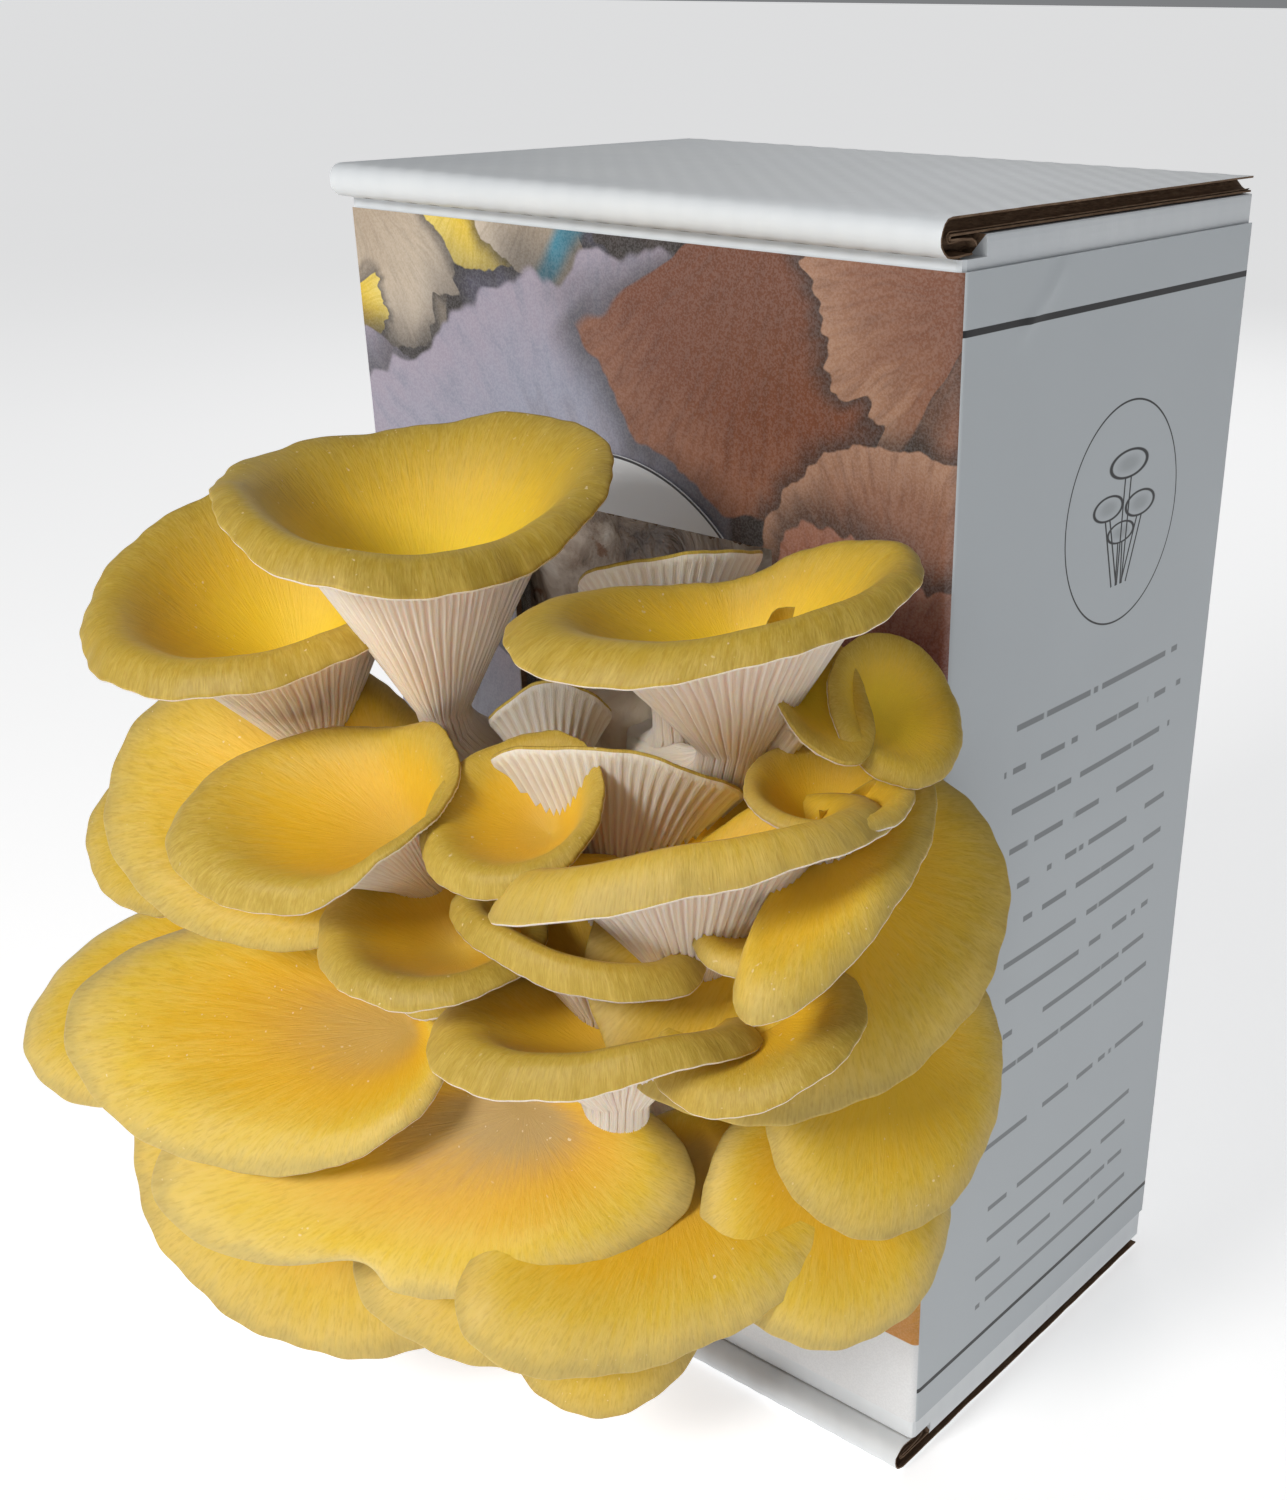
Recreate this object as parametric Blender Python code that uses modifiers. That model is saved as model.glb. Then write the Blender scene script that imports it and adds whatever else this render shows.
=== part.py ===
"""Oyster mushroom grow kit: a printed corrugated carton with a hinged lid, the bagged
substrate block inside it, and a bouquet of golden oyster mushrooms growing out of its window.

Units are metres, +Z is up, the window faces -Y and the text side faces +X.
The origin is the centre of the footprint on the surface the kit stands on."""

import math

import bmesh
import bpy
from mathutils import Matrix, Vector

MM = 0.001

# ---------------------------------------------------------------- carton sizes, in millimetres
WIDTH = 150.0
DEPTH = 103.0
HEIGHT = 260.0
BOARD = 3.0
GAP = 0.3
SIDE_FOLD = 4.0
CORNER_FOLD = 1.2
FLAP_REACH = 45.0
FLAP_SLIT = 1.0
NOSE_OUT = 5.5
NOSE_DROP = 6.4
NOSE_RADIUS = 3.2
TUCK_DROP = 7.0
TUCK_BACK = 4.0
TUCK_SIDE_GAP = 0.6
TUCK_SHOULDER = 0.15
LID_SIDE_INSET = 0.6

WINDOW_LEFT = -36.0
WINDOW_RIGHT = 36.0
WINDOW_LOW = 96.0
WINDOW_TOP = 200.0

LABEL_LOW = 11.8
LABEL_TOP = 251.5
LABEL_THICK = 0.3
STICKER_CENTRE = (-4.0, 171.0)
STICKER_RADIUS = 41.0

BLOCK_CLEAR = 3.2
BLOCK_TOP = 226.0
BLOCK_ROUND = 7.0
FILM = 0.4

# the lump of fused stem bases: centre, half sizes and the flat face it grows from
BASE_CENTRE = (4.0, -62.0, 140.0)
BASE_HALF = (25.0, 20.0, 34.0)
BASE_BACK = -44.9

# how the mushrooms are lofted: rings over the cap, under it and down the stem, as fractions, and
# columns round a small and a large cap
TOP_STEPS = (0.45, 0.8, 1.0)
UNDER_STEPS = (0.55,)
STEM_STEPS = (0.4, 1.0)
SMALL_REACH = 30.0
SMALL_COLUMNS = 8
LARGE_COLUMNS = 11
TRIM_GROWTH = 0.65
MAX_SHELL = 2.0

# vertices closer than this, in metres, are one
WELD = 1e-6


# ---------------------------------------------------------------- the mushrooms, in millimetres
# eye: where the stem meets the cap; facing: heading from -Y towards +X, and elevation, of the cap;
# reach: how far the rim lies from the eye to the front, the back and the sides;
# rise: height of the rim over the eye at the front and the back; curl: how far the rim rolls down;
# gills: depth of the gill cone under the eye; root: where the stem joins the base;
# wave and lobe: amount, count and phase in degrees of the rim's waviness up and down, and in and out;
# notch: direction, depth and width of a split in the rim; skew: sideways shift of the cap's outline.
DEFAULTS = {
    "root": (4, -64, 142), "roll": 0, "curl": 5, "wave": (0, 2, 0), "lobe": (0, 3, 0),
    "notch": None, "stem": 5.0, "gills": 10, "power": 1.5, "skew": 0,
}

MUSHROOMS = {}


def mushroom(name, **shape):
    """File one mushroom's shape, filled up with the defaults."""
    MUSHROOMS[name] = {**DEFAULTS, **shape}


mushroom("mushroom_crown_left", eye=(3, -106, 195), facing=(35, 82), reach=(35, 31, 33), rise=(35, 29),
         root=(-4, -70, 156), curl=14, gills=26, wave=(2.5, 2, 200), lobe=(0.05, 3, 0))
mushroom("mushroom_crown_right", eye=(58, -86, 190), facing=(55, 73), reach=(33, 14, 32), rise=(44, 12),
         root=(18, -66, 160), roll=-5, curl=14, gills=22, wave=(7, 1, -25), skew=-8)
mushroom("mushroom_centre_long", eye=(57, -100, 153), facing=(41, 90), reach=(30, 11, 33), rise=(32, 9),
         root=(16, -76, 138), roll=2, curl=16, gills=20, wave=(7.7, 1, 0))
mushroom("mushroom_left_inner", eye=(9, -121, 158), facing=(10, 62), reach=(43, 15, 21), rise=(15, 18),
         root=(-8, -72, 142), roll=-75, curl=9, gills=14, wave=(1.5, 3, 90))
mushroom("mushroom_centre_left", eye=(35, -111, 163), facing=(15, 64), reach=(21, 12, 17), rise=(14, 15),
         root=(-2, -74, 148), roll=-40, curl=8, gills=14, stem=4.5)
mushroom("mushroom_centre_low_left", eye=(18, -119, 138), facing=(22, 72), reach=(23, 15, 22), rise=(17, 13),
         root=(-4, -74, 132), roll=-26, curl=8, gills=14, wave=(1.5, 2, 0), stem=4.5)
mushroom("mushroom_centre_band", eye=(42, -109, 138), facing=(23, 82), reach=(19, 12, 24), rise=(24, 12),
         root=(6, -76, 130), roll=-15, curl=12, gills=14, wave=(2.5, 1, 180), stem=4.5)
mushroom("mushroom_centre_low_long", eye=(50, -112, 124), facing=(32, 88), reach=(23, 13, 29), rise=(21, 11),
         root=(8, -74, 124), roll=1, curl=12, gills=12, wave=(3.5, 2, 0), stem=4.5, skew=-3)
mushroom("mushroom_centre_pale", eye=(38, -98, 152), facing=(30, 110), reach=(21, 12, 23), rise=(22, 10),
         root=(12, -76, 142), roll=-4, curl=0, gills=12, wave=(0.8, 2, 90), power=1.3, stem=4.5)
mushroom("mushroom_right_small", eye=(74, -85, 166), facing=(50, 84), reach=(18, 12, 14), rise=(14, 12),
         root=(26, -60, 154), curl=5, gills=12, stem=4)
mushroom("mushroom_crown_right_narrow", eye=(65, -82, 188), facing=(70, 55), reach=(20, 10, 8), rise=(8, 10),
         root=(22, -60, 158), curl=2, stem=4)
mushroom("mushroom_crown_right_small", eye=(78, -74, 184), facing=(70, 50), reach=(15, 12, 12), rise=(6, 8),
         root=(24, -56, 154), curl=4, stem=4)
mushroom("mushroom_right_low", eye=(67, -97, 133), facing=(28, 72), reach=(25, 12, 19), rise=(9, 11),
         root=(20, -70, 128), roll=8, curl=6, gills=12, wave=(4, 2, 0), stem=4.5, skew=2)
mushroom("mushroom_right_middle", eye=(67, -93, 150), facing=(24, 68), reach=(17, 12, 11), rise=(10, 10),
         root=(22, -64, 134), curl=5, gills=12, stem=4.5)
mushroom("mushroom_right_inner", eye=(75, -86, 165), facing=(22, 61), reach=(36, 17, 10), rise=(4, 8),
         root=(26, -60, 138), roll=-20, curl=6, wave=(2, 2, 0), skew=9)
mushroom("mushroom_crown_far_left", eye=(-34, -108, 176), facing=(25, 73), reach=(36, 28, 32), rise=(34, 29),
         root=(-14, -66, 150), curl=14, gills=22, wave=(2, 2, 30))
mushroom("mushroom_left_outer", eye=(-13, -108, 148), facing=(25, 40), reach=(58, 14, 29), rise=(12, 14),
         root=(-16, -62, 138), roll=-100, curl=8, gills=12, wave=(2, 3, 0))
mushroom("mushroom_left_broad", eye=(-3, -116, 113), facing=(19, 51), reach=(76, 12, 26), rise=(2, 5),
         root=(-2, -66, 124), roll=-93, curl=6, wave=(1, 4, 0), skew=9)
mushroom("mushroom_lower_notched", eye=(20, -108, 100), facing=(28, 38), reach=(36, 10, 54), rise=(2, 2),
         root=(2, -68, 116), roll=6, curl=7, wave=(3, 3, 60), notch=(-50, 0.16, 9), skew=-22)
mushroom("mushroom_lower_right_broad", eye=(42, -91, 88), facing=(44, 57), reach=(34, 10, 44), rise=(0, 3),
         root=(8, -66, 112), roll=23, curl=7, wave=(1, 3, 0), skew=-5)
mushroom("mushroom_right_outer", eye=(63, -78, 158), facing=(45, 40), reach=(45, 16, 39), rise=(2, 8),
         root=(24, -56, 132), roll=27, curl=5, wave=(1.5, 2, 0), skew=-8)
mushroom("mushroom_right_lower", eye=(65, -69.5, 96), facing=(58, 33), reach=(44, 10, 25), rise=(-1, 3),
         root=(22, -58, 126), roll=4, curl=5, wave=(1.5, 2, 0), skew=-4)
mushroom("mushroom_left_edge_upper", eye=(-64, -104, 134), facing=(10, 50), reach=(42, 14, 23), rise=(4, 8),
         root=(-8, -64, 134), roll=-85, curl=4)
mushroom("mushroom_left_edge_lower", eye=(-66, -107, 101), facing=(5, 55), reach=(62, 14, 27), rise=(0, 8),
         root=(-6, -64, 120), roll=-62)
mushroom("mushroom_lower_left", eye=(-41, -95, 71), facing=(38, 40), reach=(57, 13, 46), rise=(-2, 6),
         root=(-10, -62, 116), roll=-28, skew=-3)
mushroom("mushroom_lower_under", eye=(19, -90, 74), facing=(34, 52), reach=(38, 10, 43), rise=(-3, 4),
         root=(6, -58, 109), roll=6, curl=4, skew=-7)
mushroom("mushroom_lowest", eye=(26, -81, 59), facing=(28, 38), reach=(43, 8, 22), rise=(-3, 4),
         root=(10, -56, 108), roll=-19, curl=4, skew=-3)
mushroom("mushroom_right_edge_lower", eye=(76, -70, 123), facing=(57, 33), reach=(40, 15, 23), rise=(1, 8),
         root=(18, -55, 122), roll=-17, wave=(1.5, 2, 180), skew=3)
mushroom("mushroom_crown_pale_back", eye=(31, -76, 182), facing=(60, 108), reach=(17, 12, 17), rise=(21, 12),
         root=(10, -58, 160), roll=8, curl=0, gills=12, wave=(1, 2, -90), power=1.3, stem=4, skew=2)
mushroom("mushroom_crown_pale_small", eye=(17, -92, 164), facing=(50, 105), reach=(10, 8, 11), rise=(15, 10),
         root=(4, -66, 160), curl=0, gills=10, wave=(2.5, 2, 90), power=1.3, stem=3.5)
mushroom("mushroom_button", eye=(4, -116, 124), facing=(20, 70), reach=(5, 5, 6), rise=(-1, -1),
         root=(2, -70, 130), curl=1, gills=3, stem=2.5)


# ---------------------------------------------------------------- helpers
def clear_scene():
    """Start from an empty scene."""
    for item in list(bpy.data.objects):
        bpy.data.objects.remove(item, do_unlink=True)


def new_collection(name):
    """Make a collection and link it to the scene."""
    group = bpy.data.collections.new(name)
    bpy.context.scene.collection.children.link(group)
    return group


def material(name, colour, roughness, metallic=0.0):
    """A Principled material of one colour."""
    made = bpy.data.materials.new(name)
    made.use_nodes = True
    shader = made.node_tree.nodes["Principled BSDF"]
    shader.inputs["Base Color"].default_value = (*colour, 1.0)
    shader.inputs["Roughness"].default_value = roughness
    shader.inputs["Metallic"].default_value = metallic
    return made


def add_object(name, data, group, surface=None):
    """Link new mesh or curve data to a collection as one object."""
    item = bpy.data.objects.new(name, data)
    group.objects.link(item)
    if surface is not None:
        data.materials.append(surface)
    return item


def mesh_from(name, shape):
    """Turn a bmesh into mesh data, with its faces turned outwards."""
    bmesh.ops.recalc_face_normals(shape, faces=shape.faces)
    data = bpy.data.meshes.new(name)
    shape.to_mesh(data)
    shape.free()
    return data


def smooth(item, degrees=40):
    """Shade smooth, with edges sharper than the angle kept crisp."""
    item.data.shade_smooth()
    item.data.set_sharp_from_angle(angle=math.radians(degrees))


def block_shape(low, high):
    """A bmesh box between two corners given in millimetres."""
    shape = bmesh.new()
    bmesh.ops.create_cube(shape, size=1.0)
    size = [(b - a) * MM for a, b in zip(low, high)]
    centre = [(a + b) / 2 * MM for a, b in zip(low, high)]
    bmesh.ops.transform(shape, matrix=Matrix.Diagonal((*size, 1)), verts=shape.verts)
    bmesh.ops.translate(shape, vec=centre, verts=shape.verts)
    return shape


def bevel_along(shape, axis, radius, segments):
    """Round the box edges that run along one axis."""
    edges = [e for e in shape.edges
             if abs((e.verts[0].co - e.verts[1].co).normalized()[axis]) > 0.99]
    bmesh.ops.bevel(shape, geom=edges, offset=radius * MM, segments=segments,
                    affect="EDGES", profile=0.5)


def cutter(name, low, high):
    """A hidden box used to cut other pieces."""
    item = add_object(name, mesh_from(name, block_shape(low, high)), CUTTERS)
    item.hide_render = True
    item.display_type = "WIRE"
    return item


def cut(item, tool):
    """Cut one object with another by an exact boolean."""
    step = item.modifiers.new("cut_" + tool.name, "BOOLEAN")
    step.operation = "DIFFERENCE"
    step.solver = "EXACT"
    step.object = tool


def arc(centre, radius, start, end, steps):
    """Points on an arc, as (across, up) pairs."""
    points = []
    for i in range(steps + 1):
        angle = math.radians(start + (end - start) * i / steps)
        points.append((centre[0] + radius * math.cos(angle), centre[1] + radius * math.sin(angle)))
    return points


def flat_outline(name, points, thickness, group, surface):
    """A filled 2D outline, in millimetres, extruded to a thickness about its own plane."""
    data = bpy.data.curves.new(name, "CURVE")
    data.dimensions = "2D"
    data.fill_mode = "BOTH"
    data.extrude = thickness * MM / 2
    spline = data.splines.new("POLY")
    spline.points.add(len(points) - 1)
    for point, (across, up) in zip(spline.points, points):
        point.co = (across * MM, up * MM, 0, 1)
    spline.use_cyclic_u = True
    return add_object(name, data, group, surface)


def as_mesh(item, group):
    """Swap a curve object for a mesh object of the same name, so that it can be cut."""
    bpy.context.view_layer.update()
    data = bpy.data.meshes.new_from_object(item.evaluated_get(bpy.context.evaluated_depsgraph_get()))
    shape = bmesh.new()
    shape.from_mesh(data)
    bmesh.ops.remove_doubles(shape, verts=shape.verts, dist=WELD)
    shape.to_mesh(data)
    shape.free()
    name, place, turn = item.name, item.location.copy(), item.rotation_euler.copy()
    bpy.data.objects.remove(item)
    swapped = add_object(name, data, group)
    swapped.location = place
    swapped.rotation_euler = turn
    return swapped


# ---------------------------------------------------------------- carton
def build_carton(group, surface):
    """Tube of board with inward dust flaps at both ends and the window cut in its front."""
    half_w, half_d = WIDTH / 2, DEPTH / 2
    low, top = BOARD + GAP, HEIGHT - BOARD - GAP
    shape = block_shape((-half_w, -half_d, low), (half_w, half_d, top))
    bevel_along(shape, 2, CORNER_FOLD, 2)
    bevel_along(shape, 1, SIDE_FOLD, 4)
    carton = add_object("carton", mesh_from("carton", shape), group, surface)
    smooth(carton)

    inner_w, inner_d = half_w - BOARD, half_d - BOARD
    cut(carton, cutter("carton_inside", (-inner_w, -inner_d, low + BOARD), (inner_w, inner_d, top - BOARD)))
    mouth = inner_w - FLAP_REACH
    cut(carton, cutter("carton_mouths", (-mouth, -inner_d, low - 5), (mouth, inner_d, top + 5)))
    nose_room = NOSE_DROP + GAP
    front, tuck = -half_d, -inner_d + TUCK_BACK
    ends = {"top": (HEIGHT - nose_room, HEIGHT + 5), "low": (-5, nose_room)}
    for end, (z_low, z_high) in ends.items():
        cut(carton, cutter("nose_notch_" + end, (-half_w - 5, front - 5, z_low), (half_w + 5, tuck, z_high)))
    slits = {"top": (top - BOARD - 1, top + 5), "low": (low - 5, low + BOARD + 1)}
    for end, (z_low, z_high) in slits.items():
        cut(carton, cutter("flap_slit_" + end, (-inner_w, inner_d - FLAP_SLIT, z_low),
                           (inner_w, inner_d, z_high)))
    cut(carton, WINDOW_CUTTER)
    return carton


def panel_profile():
    """Side outline of an end panel: flat board, rolled front nose and short tuck inside the wall.

    Given as (back, down) distances: across is Y and up is the height over the panel's outer face."""
    back, front = DEPTH / 2, -DEPTH / 2 - NOSE_OUT
    inside = -DEPTH / 2 + BOARD + 0.6
    bend = NOSE_RADIUS
    points = [(back, -BOARD), (back, 0)]
    points += arc((front + bend, -bend), bend, 90, 180, 5)
    points += arc((front + bend, -NOSE_DROP + bend), bend, 180, 270, 5)
    points += [(inside, -NOSE_DROP), (inside, -NOSE_DROP - TUCK_DROP)]
    points += [(inside + 2.2, -NOSE_DROP - TUCK_DROP), (inside + 2.2, -BOARD - 0.6)]
    points += [(inside + 2.2, -BOARD)]
    return points


def build_end_panel(name, group, surface, origin, outer_height, upward):
    """Lid or floor panel of the carton, from its side outline, with its tuck narrower than the walls."""
    sign = 1 if upward else -1
    points = [(y - origin[1], outer_height - origin[2] + sign * z) for y, z in panel_profile()]
    panel = flat_outline(name, points, WIDTH - 2 * LID_SIDE_INSET, group, surface)
    panel.rotation_euler = (math.radians(90), 0, math.radians(90))
    panel = as_mesh(panel, group)
    tuck = sorted(outer_height - sign * (NOSE_DROP + reach) for reach in (TUCK_SHOULDER, TUCK_DROP + 5))
    inner_w = WIDTH / 2 - BOARD - TUCK_SIDE_GAP
    for side, ends in {"left": (-WIDTH, -inner_w), "right": (inner_w, WIDTH)}.items():
        cut(panel, cutter(f"{name}_tuck_{side}", (ends[0], -DEPTH / 2, tuck[0]), (ends[1], 0, tuck[1])))
    return panel


def build_lid(group, surface):
    """Lid panel on an empty that stands on the rear crease."""
    hinge = bpy.data.objects.new("lid_hinge_axis", None)
    hinge.empty_display_size = 0.02
    hinge.location = [value * MM for value in HINGE]
    group.objects.link(hinge)
    lid = build_end_panel("lid", group, surface, HINGE, HEIGHT, True)
    lid.parent = hinge
    return lid


# ---------------------------------------------------------------- label, sticker, block and bag
def build_label(group, surface):
    """Printed sheet wrapped round the front and the right side, with the window cut out."""
    off = GAP + LABEL_THICK / 2
    x_out, y_out = WIDTH / 2 + off, -DEPTH / 2 - off
    bend = CORNER_FOLD + off
    path = [(-WIDTH / 2 + 1, y_out)]
    path += arc((x_out - bend, y_out + bend), bend, 270, 360, 4)
    path += [(x_out, DEPTH / 2 - 1)]
    shape = bmesh.new()
    rows = [[shape.verts.new((x * MM, y * MM, z * MM)) for x, y in path] for z in (LABEL_LOW, LABEL_TOP)]
    for i in range(len(path) - 1):
        shape.faces.new((rows[0][i], rows[0][i + 1], rows[1][i + 1], rows[1][i]))
    data = bpy.data.meshes.new("label")
    shape.to_mesh(data)
    shape.free()
    label = add_object("label", data, group, surface)
    sheet = label.modifiers.new("thickness", "SOLIDIFY")
    sheet.thickness = LABEL_THICK * MM
    sheet.offset = 0.0
    sheet.use_even_offset = True
    cut(label, WINDOW_CUTTER)
    return label


def build_sticker(group, surface):
    """Part of the round sticker that is left above the window."""
    across, up = STICKER_CENTRE
    edge = WINDOW_TOP + GAP
    reach = math.degrees(math.asin((edge - up) / STICKER_RADIUS))
    points = arc((across, up), STICKER_RADIUS, reach, 180 - reach, 24)
    sticker = flat_outline("sticker", points, LABEL_THICK, group, surface)
    sticker.rotation_euler = (math.radians(90), 0, 0)
    sticker.location.y = (-DEPTH / 2 - 2 * GAP - 1.5 * LABEL_THICK) * MM
    return sticker


def rounded_block(low, high, radius, segments):
    """A bmesh box with all its edges rounded."""
    shape = block_shape(low, high)
    bmesh.ops.bevel(shape, geom=list(shape.edges), offset=radius * MM, segments=segments,
                    affect="EDGES", profile=0.5)
    return shape


def build_block_and_bag(group, block_surface, bag_surface):
    """Substrate block standing on the lower flaps, inside a clear film bag with a cut window."""
    half_w = WIDTH / 2 - BOARD - BLOCK_CLEAR
    half_d = DEPTH / 2 - BOARD - BLOCK_CLEAR
    low = 2 * BOARD + 2 * GAP
    skin = FILM + GAP
    inner = ((-half_w + skin, -half_d + skin, low + skin), (half_w - skin, half_d - skin, BLOCK_TOP))
    block = add_object("substrate_block", mesh_from("substrate_block",
                       rounded_block(*inner, BLOCK_ROUND, 3)), group, block_surface)
    smooth(block)

    outer = ((-half_w, -half_d, low), (half_w, half_d, BLOCK_TOP + skin))
    bag = add_object("grow_bag", mesh_from("grow_bag",
                     rounded_block(*outer, BLOCK_ROUND + skin, 3)), group, bag_surface)
    smooth(bag)
    hollow_low = [value - GAP for value in inner[0]]
    hollow_high = [value + GAP for value in inner[1]]
    hollow = add_object("bag_hollow", mesh_from("bag_hollow",
                        rounded_block(hollow_low, hollow_high, BLOCK_ROUND + GAP, 3)), CUTTERS)
    hollow.hide_render = True
    hollow.display_type = "WIRE"
    cut(bag, hollow)
    cut(bag, WINDOW_CUTTER)
    return block, bag


# ---------------------------------------------------------------- mushrooms
def cap_axes(shape):
    """The cap's own axes: out of its top, towards its front and towards its side."""
    heading, elevation = (math.radians(a) for a in shape["facing"])
    roll = math.radians(shape["roll"])
    up = Vector((math.sin(heading) * math.cos(elevation), -math.cos(heading) * math.cos(elevation),
                 math.sin(elevation)))
    front = Vector((math.sin(heading) * math.sin(elevation), -math.cos(heading) * math.sin(elevation),
                    -math.cos(elevation)))
    side = up.cross(front)
    return up, front * math.cos(roll) + side * math.sin(roll), side * math.cos(roll) - front * math.sin(roll)


def rim_radius(shape, angle):
    """Distance from the eye to the rim: an ellipse set off from the eye, with lobes and a notch."""
    front, back, side = shape["reach"]
    half, shift, skew = (front + back) / 2, (front - back) / 2, shape["skew"]
    a = (math.cos(angle) / half) ** 2 + (math.sin(angle) / side) ** 2
    b = -(shift * math.cos(angle) / half ** 2 + skew * math.sin(angle) / side ** 2)
    c = (shift / half) ** 2 + (skew / side) ** 2 - 1
    radius = (-b + math.sqrt(max(b * b - a * c, 0))) / a
    amount, count, phase = shape["lobe"]
    radius *= 1 + amount * math.cos(count * angle + math.radians(phase))
    if shape["notch"]:
        heading, depth, spread = shape["notch"]
        away = (angle - math.radians(heading) + math.pi) % (2 * math.pi) - math.pi
        radius *= 1 - depth * math.exp(-(away / math.radians(spread)) ** 2)
    return radius


def top_height(shape, out, angle):
    """Height of the cap's top over its eye, a fraction `out` of the way to the rim."""
    front, back = shape["rise"]
    forward = (1 + math.cos(angle)) / 2
    height = (front * forward + back * (1 - forward)) * out ** shape["power"]
    rolled = max(0.0, (out - 0.72) / 0.28)
    height -= shape["curl"] * (0.35 + 0.65 * forward) * rolled ** 2
    amount, count, phase = shape["wave"]
    return height + amount * out ** 2 * math.sin(count * angle + math.radians(phase))


def flesh(shape, out):
    """Thickness from the cap's top down to the gill edges."""
    return 1.4 + 1.1 * (1 - out) + shape["gills"] * (1 - out) ** 2


def stem_path(shape, start, down):
    """Centre and direction at points along the stem, from the cap down to the base."""
    root = Vector(shape["root"])
    span = (root - start).length
    straight = (root - start).normalized()
    leave = (down + straight).normalized()
    arrive = (straight + Vector((0, 0.8, 0))).normalized()
    first, second = start + leave * span * 0.35, root - arrive * span * 0.35
    path = []
    for u in STEM_STEPS:
        v = 1 - u
        centre = start * v ** 3 + first * 3 * v * v * u + second * 3 * v * u * u + root * u ** 3
        heading = (first - start) * v * v + (second - first) * 2 * v * u + (root - second) * u * u
        path.append((centre, heading.normalized(), u))
    return path


def cap_rings(shape, columns):
    """Rings of points from round the eye, over the rim, along the gills and down the stem."""
    up, front, side = cap_axes(shape)
    eye = Vector(shape["eye"])
    angles = [2 * math.pi * i / columns for i in range(columns)]
    radii = [rim_radius(shape, angle) for angle in angles]
    neck = min(0.45, shape["stem"] / (sum(radii) / columns))

    def ring(out, lift):
        points = []
        for angle, radius in zip(angles, radii):
            away = (front * math.cos(angle) + side * math.sin(angle)) * radius * out
            points.append(eye + away + up * (top_height(shape, out, angle) - lift))
        return points

    rings = [ring(out, 0) for out in TOP_STEPS]
    rings += [ring(out, flesh(shape, out)) for out in (1.0, *UNDER_STEPS, neck)]
    start = eye - up * flesh(shape, neck)
    axis_a, axis_b, heading = front, side, -up
    for centre, direction, along in stem_path(shape, start, -up):
        turn = heading.rotation_difference(direction)
        axis_a, axis_b, heading = turn @ axis_a, turn @ axis_b, direction
        blend = min(1.0, along * 1.6)
        ring_points = []
        for angle, radius in zip(angles, radii):
            width = neck * radius * (1 - blend) + shape["stem"] * blend
            ring_points.append(centre + (axis_a * math.cos(angle) + axis_b * math.sin(angle)) * width)
        rings.append(ring_points)
    return eye, rings, Vector(shape["root"])


def build_mushroom(name, shape, group, surface):
    """One mushroom, cap and stem, lofted as a closed solid from the eye to the root."""
    columns = SMALL_COLUMNS if max(shape["reach"]) < SMALL_REACH else LARGE_COLUMNS
    eye, rings, root = cap_rings(shape, columns)
    solid = bmesh.new()
    start = solid.verts.new(eye * MM)
    grid = [[solid.verts.new(point * MM) for point in ring] for ring in rings]
    end = solid.verts.new(root * MM)
    for i in range(columns):
        j = (i + 1) % columns
        solid.faces.new((start, grid[0][i], grid[0][j]))
        solid.faces.new((end, grid[-1][j], grid[-1][i]))
        for upper, lower in zip(grid, grid[1:]):
            solid.faces.new((upper[i], lower[i], lower[j], upper[j]))
    bmesh.ops.triangulate(solid, faces=solid.faces)
    item = add_object(name, mesh_from(name, solid), group, surface)
    item.data.shade_smooth()
    return item


def build_base(group, surface):
    """The fused, knobbly butt that fills the window and carries every stem."""
    shape = bmesh.new()
    bmesh.ops.create_uvsphere(shape, u_segments=16, v_segments=10, radius=1.0)
    for vert in shape.verts:
        x, y, z = vert.co
        swell = 1 + 0.07 * math.sin(5 * x + 2.0) * math.cos(4 * z) + 0.05 * math.sin(6 * z + 3 * y)
        vert.co = Vector([c * MM + v * h * swell * MM
                          for c, v, h in zip(BASE_CENTRE, (x, y, z), BASE_HALF)])
    bmesh.ops.triangulate(shape, faces=shape.faces)
    base = add_object("cluster_base", mesh_from("cluster_base", shape), group, surface)
    base.data.shade_smooth()
    cut(base, cutter("base_back", (-90, BASE_BACK, 40), (90, 60, 240)))
    return base


def bounds(item):
    """Lowest and highest corner of an object's evaluated mesh."""
    points = [item.matrix_world @ Vector(corner) for corner in item.bound_box]
    low = [min(point[i] for point in points) for i in range(3)]
    high = [max(point[i] for point in points) for i in range(3)]
    return low, high


def near(first, second, margin):
    """Whether two objects' bounding boxes come within a margin of each other."""
    (low_a, high_a), (low_b, high_b) = bounds(first), bounds(second)
    return all(low_a[i] - margin < high_b[i] and low_b[i] - margin < high_a[i] for i in range(3))


def grown_copy(item):
    """A hidden copy of a finished piece, swollen by the trimming gap."""
    shape = bmesh.new()
    shape.from_mesh(item.data)
    shape.normal_update()
    moves = [vert.normal * TRIM_GROWTH * MM * min(vert.calc_shell_factor(), MAX_SHELL) for vert in shape.verts]
    for vert, move in zip(shape.verts, moves):
        vert.co += move
    copy = add_object(item.name + "_room", mesh_from(item.name + "_room", shape), CUTTERS)
    copy.hide_render = True
    copy.display_type = "WIRE"
    return copy


def bake(item):
    """Replace an object's mesh by the result of its modifiers."""
    bpy.context.view_layer.update()
    graph = bpy.context.evaluated_depsgraph_get()
    result = bpy.data.meshes.new_from_object(item.evaluated_get(graph))
    item.modifiers.clear()
    item.data = result


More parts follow.
